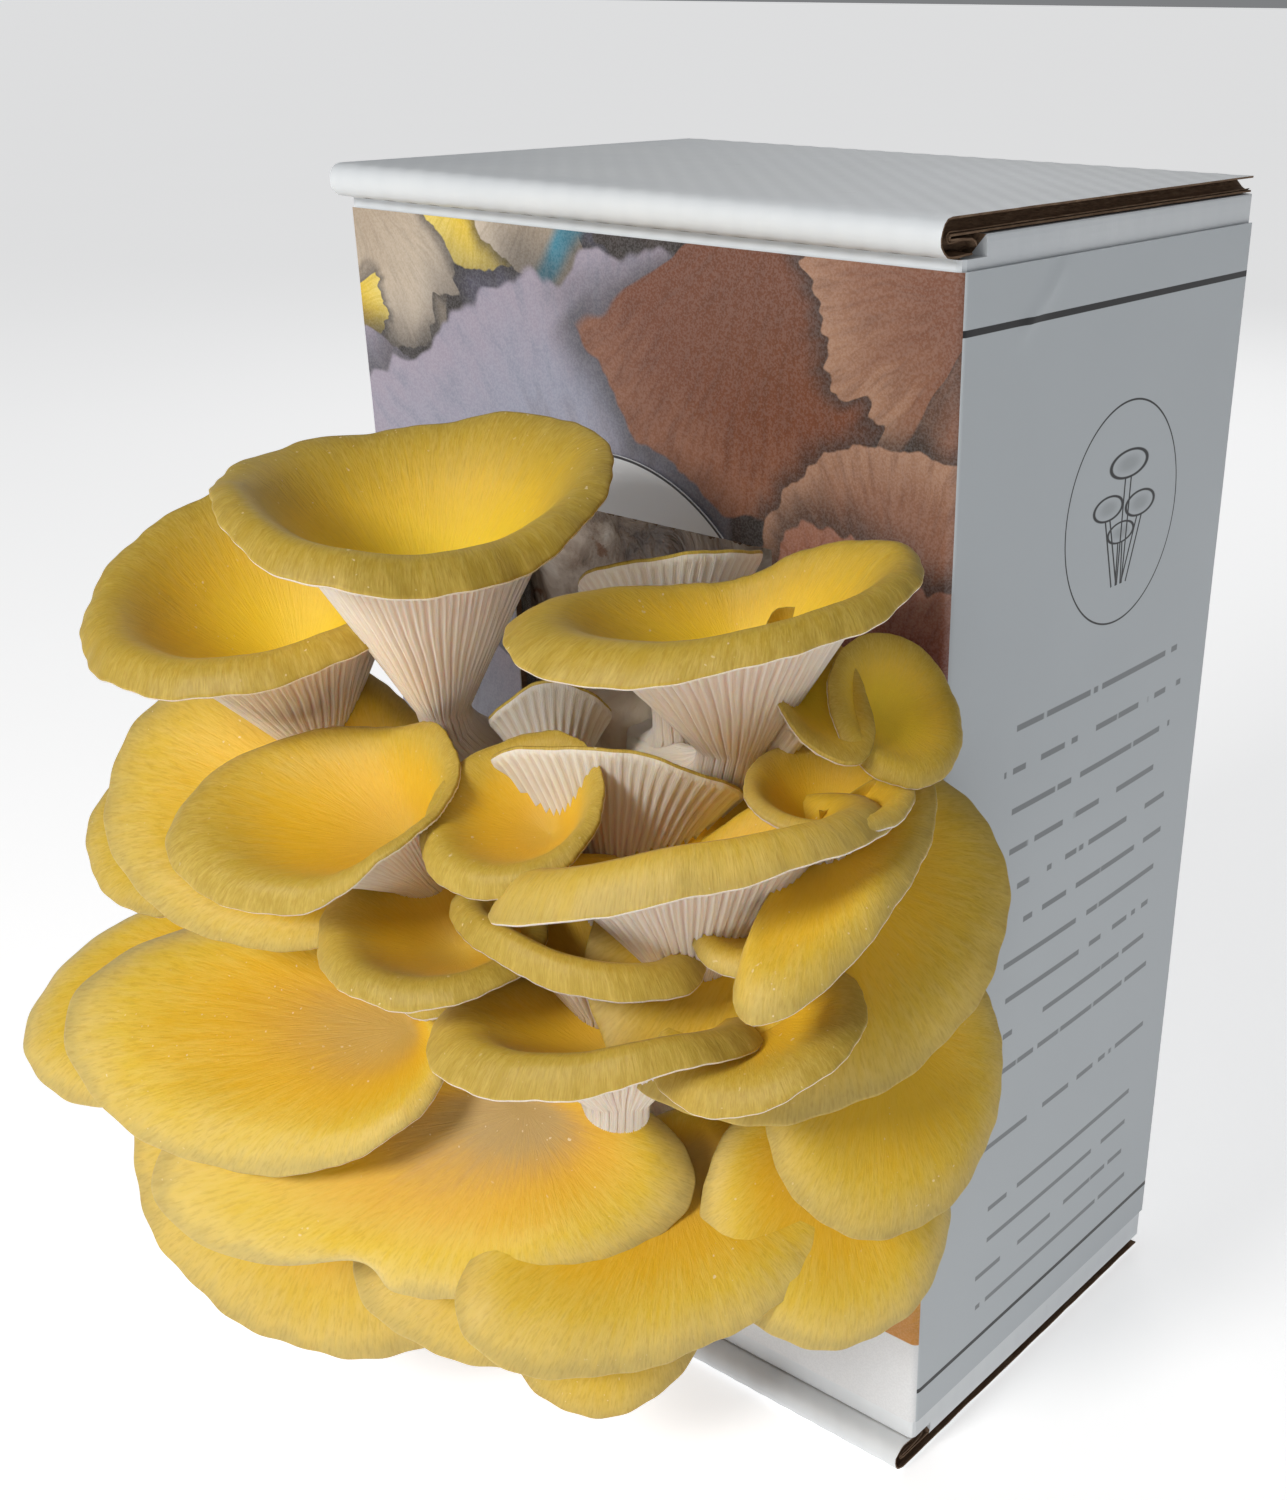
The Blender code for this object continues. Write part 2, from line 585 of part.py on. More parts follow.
def keep_largest(item):
    """Keep the largest connected part of a mesh."""
    shape = bmesh.new()
    shape.from_mesh(item.data)
    bmesh.ops.dissolve_degenerate(shape, dist=1e-7, edges=shape.edges)
    left, parts = set(shape.verts), []
    while left:
        front = [left.pop()]
        part = set(front)
        while front:
            vert = front.pop()
            for edge in vert.link_edges:
                other = edge.other_vert(vert)
                if other in left:
                    left.remove(other)
                    part.add(other)
                    front.append(other)
        parts.append(part)
    parts.sort(key=len)
    spare = [vert for part in parts[:-1] for vert in part]
    bmesh.ops.delete(shape, geom=spare, context="VERTS")
    shape.to_mesh(item.data)
    shape.free()


def build_cluster(group, base_surface, cap_surface):
    """The base and every mushroom, each trimmed clear of those made before it."""
    base = build_base(group, base_surface)
    bake(base)
    done = [(base, grown_copy(base))]
    for name, shape in MUSHROOMS.items():
        item = build_mushroom(name, shape, group, cap_surface)
        own_room = grown_copy(item)
        bpy.context.view_layer.update()
        for other, room in done:
            if near(item, other, 0.0006):
                cut(item, room)
        bake(item)
        keep_largest(item)
        done.append((item, own_room))


# ---------------------------------------------------------------- build
HINGE = (0.0, DEPTH / 2 + 0.15, HEIGHT - BOARD - 0.15)

clear_scene()
KIT = new_collection("oyster_mushroom_grow_kit")
CUTTERS = new_collection("cutters")
WINDOW_CUTTER = cutter("window", (WINDOW_LEFT, -DEPTH / 2 - 8, WINDOW_LOW),
                       (WINDOW_RIGHT, -DEPTH / 2 + BOARD + 4, WINDOW_TOP))

white_board = material("white_board", (0.74, 0.77, 0.80), 0.6)
printed_paper = material("printed_paper", (0.42, 0.36, 0.36), 0.35)
sticker_paper = material("sticker_paper", (0.82, 0.84, 0.86), 0.4)
mycelium_block = material("mycelium_block", (0.30, 0.23, 0.18), 0.85)
clear_film = material("clear_film", (0.70, 0.72, 0.72), 0.15)
pale_flesh = material("pale_flesh", (0.78, 0.66, 0.52), 0.6)
golden_cap = material("golden_cap", (0.72, 0.46, 0.05), 0.5)

build_carton(KIT, white_board)
build_end_panel("bottom_panel", KIT, white_board, (0, 0, 0), 0.0, False)
build_lid(KIT, white_board)
build_label(KIT, printed_paper)
build_sticker(KIT, sticker_paper)
build_block_and_bag(KIT, mycelium_block, clear_film)
build_cluster(KIT, pale_flesh, golden_cap)
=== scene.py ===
"""Looks of the oyster mushroom grow kit: gilled golden caps, corrugated board, printed sheet, block."""

import math

import bmesh
import bpy
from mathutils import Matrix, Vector, noise


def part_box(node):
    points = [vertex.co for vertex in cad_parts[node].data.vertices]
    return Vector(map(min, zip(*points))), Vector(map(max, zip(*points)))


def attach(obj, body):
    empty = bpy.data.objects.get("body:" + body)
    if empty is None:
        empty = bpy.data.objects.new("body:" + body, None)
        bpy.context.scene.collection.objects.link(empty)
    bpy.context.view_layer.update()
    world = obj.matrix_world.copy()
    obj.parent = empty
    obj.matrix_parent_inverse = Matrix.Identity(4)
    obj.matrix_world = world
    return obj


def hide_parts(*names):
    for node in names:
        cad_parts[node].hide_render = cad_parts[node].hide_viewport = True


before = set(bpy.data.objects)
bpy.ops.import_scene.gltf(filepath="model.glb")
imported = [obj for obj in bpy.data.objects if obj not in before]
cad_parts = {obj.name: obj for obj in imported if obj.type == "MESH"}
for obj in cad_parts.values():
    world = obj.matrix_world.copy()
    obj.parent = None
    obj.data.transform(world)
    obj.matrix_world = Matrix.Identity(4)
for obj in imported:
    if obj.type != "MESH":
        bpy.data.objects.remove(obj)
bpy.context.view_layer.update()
MM = 0.001

# carton, in millimetres, as in the CAD
WIDTH, DEPTH, HEIGHT, BOARD = 150.0, 103.0, 260.0, 3.0
HALF_W, HALF_D = WIDTH / 2, DEPTH / 2
NOSE_OUT, NOSE_DROP, NOSE_RADIUS = 5.5, 6.4, 3.2
TUCK_DROP = 7.0
LABEL_LOW, LABEL_TOP = 11.8, 251.5
PICTURE_LOW = 33.5
WINDOW_LEFT, WINDOW_RIGHT, WINDOW_LOW, WINDOW_TOP = -36.0, 36.0, 96.0, 200.0
STICKER_CENTRE, STICKER_RADIUS = (-4.0, 171.0), 41.0
FLUTE_PITCH = 6.5
END_FLAPS, CUT_END = 4.5, 6.8
BASE_CENTRE, BASE_HALF, BASE_BACK = (4.0, -62.0, 140.0), (25.0, 20.0, 34.0), -44.9


# ---------------------------------------------------------------- the mushrooms, as in the CAD
DEFAULTS = {
    "roll": 0, "curl": 5, "wave": (0, 2, 0), "lobe": (0, 3, 0),
    "notch": None, "stem": 5.0, "gills": 10, "power": 1.5, "skew": 0,
}

MUSHROOMS = {}


def mushroom(name, eye, facing, reach, rise, root, **more):
    """File one mushroom's shape, filled up with the defaults.

    eye: where stem and cap meet; facing: the cap's heading and elevation; reach: how far the rim lies
    to the front, back and sides; rise: its height at front and back; root: where the stem ends."""
    shape = {"eye": eye, "facing": facing, "reach": reach, "rise": rise, "root": root}
    MUSHROOMS["mushroom_" + name] = {**DEFAULTS, **shape, **more}


mushroom("crown_left", (3, -106, 195), (35, 82), (35, 31, 33), (35, 29), (-4, -70, 156),
         curl=14, gills=26, wave=(2.5, 2, 200), lobe=(0.05, 3, 0), tone="bright")
mushroom("crown_right", (58, -86, 190), (55, 73), (33, 14, 32), (44, 12), (18, -66, 160),
         roll=-5, curl=14, gills=22, wave=(7, 1, -25), skew=-8, tone="bright")
mushroom("centre_long", (57, -100, 153), (41, 90), (30, 11, 33), (32, 9), (16, -76, 138),
         roll=2, curl=16, gills=20, wave=(7.7, 1, 0), tone="gold")
mushroom("left_inner", (9, -121, 158), (10, 62), (43, 15, 21), (15, 18), (-8, -72, 142),
         roll=-75, curl=9, gills=14, wave=(1.5, 3, 90), tone="olive")
mushroom("centre_left", (35, -111, 163), (15, 64), (21, 12, 17), (14, 15), (-2, -74, 148),
         roll=-40, curl=8, gills=14, stem=4.5, tone="olive")
mushroom("centre_low_left", (18, -119, 138), (22, 72), (23, 15, 22), (17, 13), (-4, -74, 132),
         roll=-26, curl=8, gills=14, wave=(1.5, 2, 0), stem=4.5, tone="olive")
mushroom("centre_band", (42, -109, 138), (23, 82), (19, 12, 24), (24, 12), (6, -76, 130),
         roll=-15, curl=12, gills=14, wave=(2.5, 1, 180), stem=4.5, tone="olive")
mushroom("centre_low_long", (50, -112, 124), (32, 88), (23, 13, 29), (21, 11), (8, -74, 124),
         roll=1, curl=12, gills=12, wave=(3.5, 2, 0), stem=4.5, skew=-3, tone="olive")
mushroom("centre_pale", (38, -98, 152), (30, 110), (21, 12, 23), (22, 10), (12, -76, 142),
         roll=-4, curl=0, gills=12, wave=(0.8, 2, 90), power=1.3, stem=4.5, tone="olive")
mushroom("right_small", (74, -85, 166), (50, 84), (18, 12, 14), (14, 12), (26, -60, 154),
         curl=5, gills=12, stem=4, tone="gold")
mushroom("crown_right_narrow", (65, -82, 188), (70, 55), (20, 10, 8), (8, 10), (22, -60, 158),
         curl=2, stem=4, tone="bright")
mushroom("crown_right_small", (78, -74, 184), (70, 50), (15, 12, 12), (6, 8), (24, -56, 154),
         curl=4, stem=4, tone="bright")
mushroom("right_low", (67, -97, 133), (28, 72), (25, 12, 19), (9, 11), (20, -70, 128),
         roll=8, curl=6, gills=12, wave=(4, 2, 0), stem=4.5, skew=2, tone="olive")
mushroom("right_middle", (67, -93, 150), (24, 68), (17, 12, 11), (10, 10), (22, -64, 134),
         curl=5, gills=12, stem=4.5, tone="gold")
mushroom("right_inner", (75, -86, 165), (22, 61), (36, 17, 10), (4, 8), (26, -60, 138),
         roll=-20, curl=6, wave=(2, 2, 0), skew=9, tone="gold")
mushroom("crown_far_left", (-34, -108, 176), (25, 73), (36, 28, 32), (34, 29), (-14, -66, 150),
         curl=14, gills=22, wave=(2, 2, 30), tone="bright")
mushroom("left_outer", (-13, -108, 148), (25, 40), (58, 14, 29), (12, 14), (-16, -62, 138),
         roll=-100, curl=8, gills=12, wave=(2, 3, 0), tone="gold")
mushroom("left_broad", (-3, -116, 113), (19, 51), (76, 12, 26), (2, 5), (-2, -66, 124),
         roll=-93, curl=6, wave=(1, 4, 0), skew=9, tone="amber")
mushroom("lower_notched", (20, -108, 100), (28, 38), (36, 10, 54), (2, 2), (2, -68, 116),
         roll=6, curl=7, wave=(3, 3, 60), notch=(-50, 0.16, 9), skew=-22, tone="buff")
mushroom("lower_right_broad", (42, -91, 88), (44, 57), (34, 10, 44), (0, 3), (8, -66, 112),
         roll=23, curl=7, wave=(1, 3, 0), skew=-5, tone="amber")
mushroom("right_outer", (63, -78, 158), (45, 40), (45, 16, 39), (2, 8), (24, -56, 132),
         roll=27, curl=5, wave=(1.5, 2, 0), skew=-8, tone="gold")
mushroom("right_lower", (65, -69.5, 96), (58, 33), (44, 10, 25), (-1, 3), (22, -58, 126),
         roll=4, curl=5, wave=(1.5, 2, 0), skew=-4, tone="amber")
mushroom("left_edge_upper", (-64, -104, 134), (10, 50), (42, 14, 23), (4, 8), (-8, -64, 134),
         roll=-85, curl=4, tone="gold")
mushroom("left_edge_lower", (-66, -107, 101), (5, 55), (62, 14, 27), (0, 8), (-6, -64, 120),
         roll=-62, tone="amber")
mushroom("lower_left", (-41, -95, 71), (38, 40), (57, 13, 46), (-2, 6), (-10, -62, 116),
         roll=-28, skew=-3, tone="amber")
mushroom("lower_under", (19, -90, 74), (34, 52), (38, 10, 43), (-3, 4), (6, -58, 109),
         roll=6, curl=4, skew=-7, tone="amber")
mushroom("lowest", (26, -81, 59), (28, 38), (43, 8, 22), (-3, 4), (10, -56, 108),
         roll=-19, curl=4, skew=-3, tone="gold")
mushroom("right_edge_lower", (76, -70, 123), (57, 33), (40, 15, 23), (1, 8), (18, -55, 122),
         roll=-17, wave=(1.5, 2, 180), skew=3, tone="gold")
mushroom("crown_pale_back", (31, -76, 182), (60, 108), (17, 12, 17), (21, 12), (10, -58, 160),
         roll=8, curl=0, gills=12, wave=(1, 2, -90), power=1.3, stem=4, skew=2, tone="olive")
mushroom("crown_pale_small", (17, -92, 164), (50, 105), (10, 8, 11), (15, 10), (4, -66, 160),
         curl=0, gills=10, wave=(2.5, 2, 90), power=1.3, stem=3.5, tone="olive")
mushroom("button", (4, -116, 124), (20, 70), (5, 5, 6), (-1, -1), (2, -70, 130),
         curl=1, gills=3, stem=2.5, tone="olive")


# ---------------------------------------------------------------- node trees
class Tree:
    """A material's node tree, with short calls for the nodes used here."""

    def __init__(self, name):
        self.material = bpy.data.materials.new(name)
        self.material.use_nodes = True
        self.nodes = self.material.node_tree.nodes
        self.links = self.material.node_tree.links
        self.shader = self.nodes["Principled BSDF"]

    def put(self, socket, value):
        """Set an input to a number or a colour, or link it to another node's output."""
        if isinstance(value, bpy.types.NodeSocket):
            self.links.new(value, socket)
        elif socket.type == "RGBA" and len(value) == 3:
            socket.default_value = (*value, 1.0)
        else:
            socket.default_value = value

    def add(self, kind, *values, **settings):
        """A node with its settings and first inputs."""
        made = self.nodes.new("ShaderNode" + kind)
        for key, value in settings.items():
            setattr(made, key, value)
        for socket, value in zip(made.inputs, values):
            if value is not None:
                self.put(socket, value)
        return made

    def math(self, operation, *values, clamp=False):
        return self.add("Math", *values, operation=operation, use_clamp=clamp).outputs[0]

    def times(self, first, second):
        return self.math("MULTIPLY", first, second)

    def plus(self, first, second):
        return self.math("ADD", first, second)

    def minus(self, first, second):
        return self.math("SUBTRACT", first, second)

    def most(self, first, second):
        return self.math("MAXIMUM", first, second)

    def size(self, value):
        return self.math("ABSOLUTE", value)

    def distance(self, x, y):
        return self.math("SQRT", self.plus(self.times(x, x), self.times(y, y)))

    def swing(self, noise_value, amount):
        """A noise moved to swing evenly about nothing."""
        return self.times(self.minus(noise_value, 0.5), amount)

    def mix(self, share, first, second):
        made = self.add("Mix", data_type="RGBA")
        for index, value in ((0, share), (6, first), (7, second)):
            self.put(made.inputs[index], value)
        return made.outputs[2]

    def step(self, value, low, high, to_low=0.0, to_high=1.0):
        """Smoothly remap a value from one range to another."""
        made = self.add("MapRange", value, low, high, to_low, to_high)
        made.interpolation_type = "SMOOTHSTEP"
        return made.outputs[0]

    def ramp(self, value, stops):
        made = self.add("ValToRGB", value)
        ramp = made.color_ramp
        ramp.elements[0].position, ramp.elements[1].position = stops[0][0], stops[-1][0]
        for position, _ in stops[1:-1]:
            ramp.elements.new(position)
        for element, (_, colour) in zip(ramp.elements, stops):
            element.color = (*colour, 1.0)
        return made.outputs[0]

    def place(self):
        """Position in the piece's own space, which is the CAD frame."""
        return self.add("TexCoord").outputs["Object"]

    def stretch(self, vector, x, y, z):
        return self.add("Mapping", vector, None, None, (x, y, z)).outputs[0]

    def parts(self, vector):
        return self.add("SeparateXYZ", vector).outputs[:3]

    def join(self, x, y, z):
        return self.add("CombineXYZ", x, y, z).outputs[0]

    def attribute(self, name):
        return self.add("Attribute", attribute_name=name).outputs

    def noise(self, vector, scale, detail=3.0, roughness=0.55, distortion=0.0):
        made = self.add("TexNoise", vector)
        for key, value in (("Scale", scale), ("Detail", detail), ("Roughness", roughness),
                           ("Distortion", distortion)):
            made.inputs[key].default_value = value
        return made.outputs[0]

    def bump(self, height, distance, strength=1.0, normal=None):
        made = self.add("Bump")
        made.inputs["Strength"].default_value = strength
        made.inputs["Distance"].default_value = distance
        self.put(made.inputs["Height"], height)
        if normal is not None:
            self.put(made.inputs["Normal"], normal)
        return made.outputs[0]

    def finish(self, colour, roughness, normal=None, **more):
        """Wire up the shader; more holds its other sockets by name, with _ for a space."""
        self.put(self.shader.inputs["Base Color"], colour)
        self.put(self.shader.inputs["Roughness"], roughness)
        if normal is not None:
            self.put(self.shader.inputs["Normal"], normal)
        for key, value in more.items():
            self.put(self.shader.inputs[key.replace("_", " ")], value)
        return self.material


# ---------------------------------------------------------------- materials
FLESH_RADIUS = (1.0, 0.55, 0.25)


def cap_top_material():
    """Golden cap: buff centre, amber middle, yellow towards the rim, olive on the very edge."""
    t = Tree("golden_cap_skin")
    angle_x, angle_y, out = t.parts(t.attribute("cap")[1])
    bright, olive, buff = t.parts(t.attribute("tone")[1])
    streak_space = t.join(angle_x, angle_y, t.times(out, 0.25))
    streaks = t.noise(streak_space, 26.0, 4.0, 0.6, 0.4)
    fine = t.noise(streak_space, 90.0, 2.0, 0.6)
    cloud = t.noise(t.place(), 45.0, 3.0)
    shifted = t.plus(out, t.swing(streaks, 0.16))
    shifted = t.plus(shifted, t.swing(cloud, 0.22))
    amber = t.ramp(shifted, [(0.0, (0.60, 0.35, 0.040)), (0.30, (0.68, 0.34, 0.004)),
                             (0.58, (0.74, 0.42, 0.006)), (0.78, (0.76, 0.51, 0.035)),
                             (0.93, (0.74, 0.54, 0.13)), (1.0, (0.54, 0.41, 0.13))])
    yellow = t.ramp(shifted, [(0.0, (0.92, 0.66, 0.040)), (0.35, (0.90, 0.63, 0.028)),
                              (0.62, (0.80, 0.52, 0.030)), (0.84, (0.55, 0.36, 0.028)),
                              (1.0, (0.38, 0.26, 0.036))])
    colour = t.mix(bright, amber, yellow)
    edge = t.times(t.step(shifted, 0.45, 0.98), olive)
    colour = t.mix(edge, colour, (0.42, 0.285, 0.030))
    middle = t.times(t.step(shifted, 0.50, 0.12), buff)
    colour = t.mix(middle, colour, (0.45, 0.29, 0.095))
    light_streaks = t.step(t.plus(t.times(streaks, 0.6), t.times(fine, 0.4)), 0.38, 0.70)
    near_rim = t.step(out, 0.25, 0.95, 0.35, 1.0)
    colour = t.mix(t.times(t.times(light_streaks, near_rim), 0.30), colour, (0.84, 0.62, 0.16))
    dark_streaks = t.times(t.step(fine, 0.52, 0.30), near_rim)
    colour = t.mix(t.times(dark_streaks, 0.20), colour, (0.36, 0.19, 0.02))
    speck = t.step(t.noise(t.place(), 900.0, 1.0), 0.735, 0.78)
    speck = t.times(speck, t.step(t.noise(t.place(), 30.0, 1.0), 0.45, 0.6))
    colour = t.mix(t.times(speck, 0.55), colour, (0.88, 0.76, 0.50))
    height = t.plus(t.times(streaks, 0.7), t.times(fine, 0.3))
    grain = t.noise(t.place(), 700.0, 2.0)
    normal = t.bump(grain, 0.00008, 0.5, t.bump(height, 0.0005, 0.35))
    rough = t.plus(0.42, t.times(streaks, 0.2))
    return t.finish(colour, rough, normal, Subsurface_Weight=0.15, Subsurface_Radius=FLESH_RADIUS,
                    Subsurface_Scale=0.002, Sheen_Weight=0.05, Sheen_Roughness=0.4,
                    Specular_IOR_Level=0.35)


def gill_material():
    """Pinkish cream gills and stem, with painted shade darkening the valleys between the gills."""
    t = Tree("pale_gill_flesh")
    angle_x, angle_y, out = t.parts(t.attribute("cap")[1])
    ridge, stem, _ = t.parts(t.attribute("gill")[1])
    streak_space = t.join(angle_x, angle_y, t.times(out, 0.12))
    streaks = t.noise(streak_space, 60.0, 3.0, 0.6, 0.3)
    cloud = t.noise(t.place(), 60.0, 3.0)
    # painted shade: the gill crest tag darkens the valleys between the gills
    colour = t.ramp(ridge, [(0.0, (0.74, 0.58, 0.46)), (0.35, (0.82, 0.68, 0.56)),
                            (1.0, (0.90, 0.79, 0.68))])
    colour = t.mix(t.times(t.step(cloud, 0.35, 0.7), 0.30), colour, (0.86, 0.74, 0.58))
    colour = t.mix(t.times(t.step(streaks, 0.55, 0.35), 0.22), colour, (0.58, 0.42, 0.32))
    stem_tone = t.mix(t.step(cloud, 0.4, 0.65), (0.84, 0.73, 0.54), (0.90, 0.82, 0.68))
    colour = t.mix(t.times(stem, 0.7), colour, stem_tone)
    fibres = t.bump(streaks, 0.0004, 0.5)
    normal = t.bump(t.noise(t.place(), 500.0, 2.0), 0.0001, 0.5, fibres)
    return t.finish(colour, 0.55, normal, Subsurface_Weight=0.45, Subsurface_Radius=FLESH_RADIUS,
                    Subsurface_Scale=0.005, Sheen_Weight=0.1, Specular_IOR_Level=0.3)


def base_material():
    """Cream lump of fused stem bases, felted with white mycelium."""
    t = Tree("pale_base_flesh")
    lumps = t.noise(t.place(), 60.0, 5.0, 0.6, 0.8)
    felt = t.noise(t.place(), 600.0, 3.0)
    colour = t.ramp(lumps, [(0.3, (0.56, 0.44, 0.31)), (0.5, (0.78, 0.67, 0.51)),
                            (0.72, (0.88, 0.80, 0.67))])
    normal = t.bump(felt, 0.0003, 0.5, t.bump(lumps, 0.002, 0.6))
    return t.finish(colour, 0.7, normal, Subsurface_Weight=0.2, Subsurface_Radius=FLESH_RADIUS,
                    Subsurface_Scale=0.003)


def board_material():
    """White-lined board: faint flute relief with painted shade along the flutes, a mottled liner tinted
    blue for the cool light on it, and soft handling marks.
    """
    t = Tree("white_board_liner")
    place = t.place()
    x, y, z = t.parts(place)
    flutes = t.math("SINE", t.times(t.plus(x, y), 2 * math.pi / (FLUTE_PITCH * MM)))
    cloud = t.noise(place, 18.0, 4.0)
    fibre = t.noise(t.stretch(place, 1.0, 1.0, 0.35), 900.0, 3.0)
    # grey-white liner with a slight blue painted in for the cool light on the board
    colour = t.mix(t.step(cloud, 0.3, 0.75), (0.66, 0.69, 0.715), (0.735, 0.76, 0.775))
    # painted shade: a faint darker stripe along each flute, following the flute relief
    colour = t.mix(t.times(t.step(flutes, 0.2, 1.0), 0.05), colour, (0.56, 0.60, 0.63))
    scuff = t.step(t.noise(t.stretch(place, 0.3, 1.0, 1.0), 160.0, 4.0, 0.7), 0.66, 0.76)
    colour = t.mix(t.times(scuff, 0.35), colour, (0.50, 0.50, 0.49))
    normal = t.bump(flutes, 0.00009, 0.5, t.bump(fibre, 0.00006, 0.6))
    return t.finish(colour, t.step(cloud, 0.2, 0.8, 0.42, 0.58), normal, Specular_IOR_Level=0.4)


def kraft_material():
    """Raw brown board: cut edges, inner liner and flutes."""
    t = Tree("brown_kraft_board")
    place = t.place()
    fibre = t.noise(t.stretch(place, 1.0, 0.25, 1.0), 1400.0, 4.0, 0.65)
    cloud = t.noise(place, 70.0, 4.0)
    colour = t.ramp(fibre, [(0.25, (0.075, 0.040, 0.022)), (0.5, (0.165, 0.100, 0.058)),
                            (0.75, (0.29, 0.20, 0.13))])
    colour = t.mix(t.times(cloud, 0.5), colour, (0.20, 0.13, 0.085))
    normal = t.bump(fibre, 0.0003, 0.8)
    return t.finish(colour, 0.85, normal, Specular_IOR_Level=0.2)


# inner, middle and rim colours of the mushroom caps printed on the front
PALETTES = {
    "grey": ((0.30, 0.26, 0.29), (0.30, 0.31, 0.40), (0.33, 0.29, 0.36)),
    "slate": ((0.16, 0.15, 0.24), (0.20, 0.20, 0.32), (0.10, 0.10, 0.16)),
    "brown": ((0.15, 0.046, 0.018), (0.165, 0.050, 0.020), (0.24, 0.095, 0.048)),
    "peach": ((0.18, 0.065, 0.032), (0.24, 0.105, 0.058), (0.36, 0.195, 0.12)),
    "brick": ((0.15, 0.034, 0.016), (0.19, 0.052, 0.028), (0.30, 0.13, 0.08)),
    "cream": ((0.40, 0.31, 0.22), (0.50, 0.41, 0.31), (0.60, 0.51, 0.41)),
    "yellow": ((0.62, 0.36, 0.01), (0.72, 0.50, 0.03), (0.75, 0.58, 0.12)),
    "amber": ((0.55, 0.22, 0.01), (0.68, 0.34, 0.015), (0.72, 0.48, 0.08)),
}

# printed caps from the back to the front of the picture: palette, where the cap's fan spreads from,
# its radius, its heading in degrees from +X towards +Z, half its spread and how ragged its edge is
PRINTED_CAPS = (
    ("slate", (-30, 212), 46, 60, 60, 0.05), ("cream", (-44, 266), 42, 215, 50, 0.06),
    ("cream", (-76, 262), 40, 300, 60, 0.10), ("yellow", (-33, 268), 26, 240, 60, 0.04),
    ("yellow", (-84, 232), 16, 330, 60, 0.10), ("cream", (-18, 262), 22, 250, 50, 0.05),
    ("peach", (26, 236), 48, 225, 40, 0.10), ("brick", (30, 226), 44, 248, 22, 0.08),
    ("peach", (22, 226), 36, 262, 14, 0.06), ("brown", (20, 216), 34, 262, 20, 0.05),
    ("slate", (20, 150), 52, 78, 70, 0.05), ("grey", (-66, 176), 52, 74, 52, 0.06),
    ("grey", (4, 158), 90, 120, 58, 0.07), ("brick", (92, 262), 42, 235, 40, 0.12),
    ("peach", (88, 222), 30, 160, 70, 0.10), ("brown", (40, 264), 60, 254, 44, 0.04),
    ("peach", (82, 250), 36, 190, 50, 0.12), ("peach", (66, 186), 37, 98, 80, 0.05),
    ("brick", (58, 152), 52, 88, 66, 0.09), ("grey", (-60, 118), 52, 100, 70, 0.05),
    ("brown", (62, 108), 44, 110, 80, 0.07), ("peach", (-58, 66), 46, 96, 80, 0.06),
    ("brick", (2, 60), 44, 84, 80, 0.07), ("cream", (-28, 34), 42, 88, 80, 0.06),
    ("amber", (60, 26), 52, 92, 90, 0.04), ("yellow", (20, 22), 34, 100, 90, 0.05),
)
CAPS_UNDER_GLINT = 12

# the printed side: its two rules, its ring, its lines of text-like dashes and the blocks they make
RULE_HEIGHTS, RULE_HALF = (242.0, 20.5), 0.55
RING_CENTRE, RING_RADIUS, RING_HALF = (6.5, 202.0), 21.5, 0.16
LINE_PITCH, TEXT_MIDDLE = 8.6, 4.0
TEXT_BLOCKS = ((86.0, 171.5), (69.0, 77.0), (26.0, 60.0))
# caps drawn in the ring: across, up, half width and half height; where their stems meet
SPRIG_CAPS = ((1.0, 9.5, 7.0, 2.6), (-6.0, 2.0, 5.4, 2.3), (6.5, 1.0, 5.6, 2.4), (-0.5, -3.5, 5.0, 2.0))
SPRIG_FOOT = -14.0


def printed_cap(t, under, u, v, number):
    """Lay one printed fan of a cap over the picture so far."""
    palette, (across, up), radius, heading, spread, ragged = PRINTED_CAPS[number]
    du, dv = t.minus(u, float(across)), t.minus(v, float(up))
    distance = t.distance(du, dv)
    turn = math.radians(heading)
    along = t.plus(t.times(du, math.cos(turn)), t.times(dv, math.sin(turn)))
    beside = t.minus(t.times(dv, math.cos(turn)), t.times(du, math.sin(turn)))
    angle = t.math("ARCTAN2", beside, along)
    streak_space = t.join(t.times(angle, 1.0), t.times(distance, 0.004), float(number))
    lobes = t.minus(t.noise(streak_space, 3.2, 3.0), 0.5)
    streaks = t.noise(streak_space, 24.0, 3.0, 0.6)
    share = t.math("DIVIDE", distance, float(radius))
    share = t.minus(share, t.times(lobes, ragged * 6))
    side = t.size(t.plus(angle, t.times(lobes, 0.5)))
    wedge = t.step(side, math.radians(spread), math.radians(spread) - 0.03)
    inside = t.times(t.step(share, 1.0, 0.985), wedge)
    shadow_wedge = t.step(side, math.radians(spread) + 0.25, math.radians(spread) - 0.05)
    shadow = t.times(t.step(share, 1.16, 0.98), shadow_wedge)
    under = t.mix(t.times(shadow, 0.75), under, (0.02, 0.014, 0.012))
    inner, middle, rim = PALETTES[palette]
    tone = t.plus(share, t.swing(streaks, 0.35))
    shade = t.ramp(tone, [(0.35, inner), (0.72, middle), (0.99, rim)])
    shade = t.mix(t.times(t.step(streaks, 0.55, 0.30), 0.30), shade, tuple(c * 0.55 for c in middle))
    return t.mix(inside, under, shade)


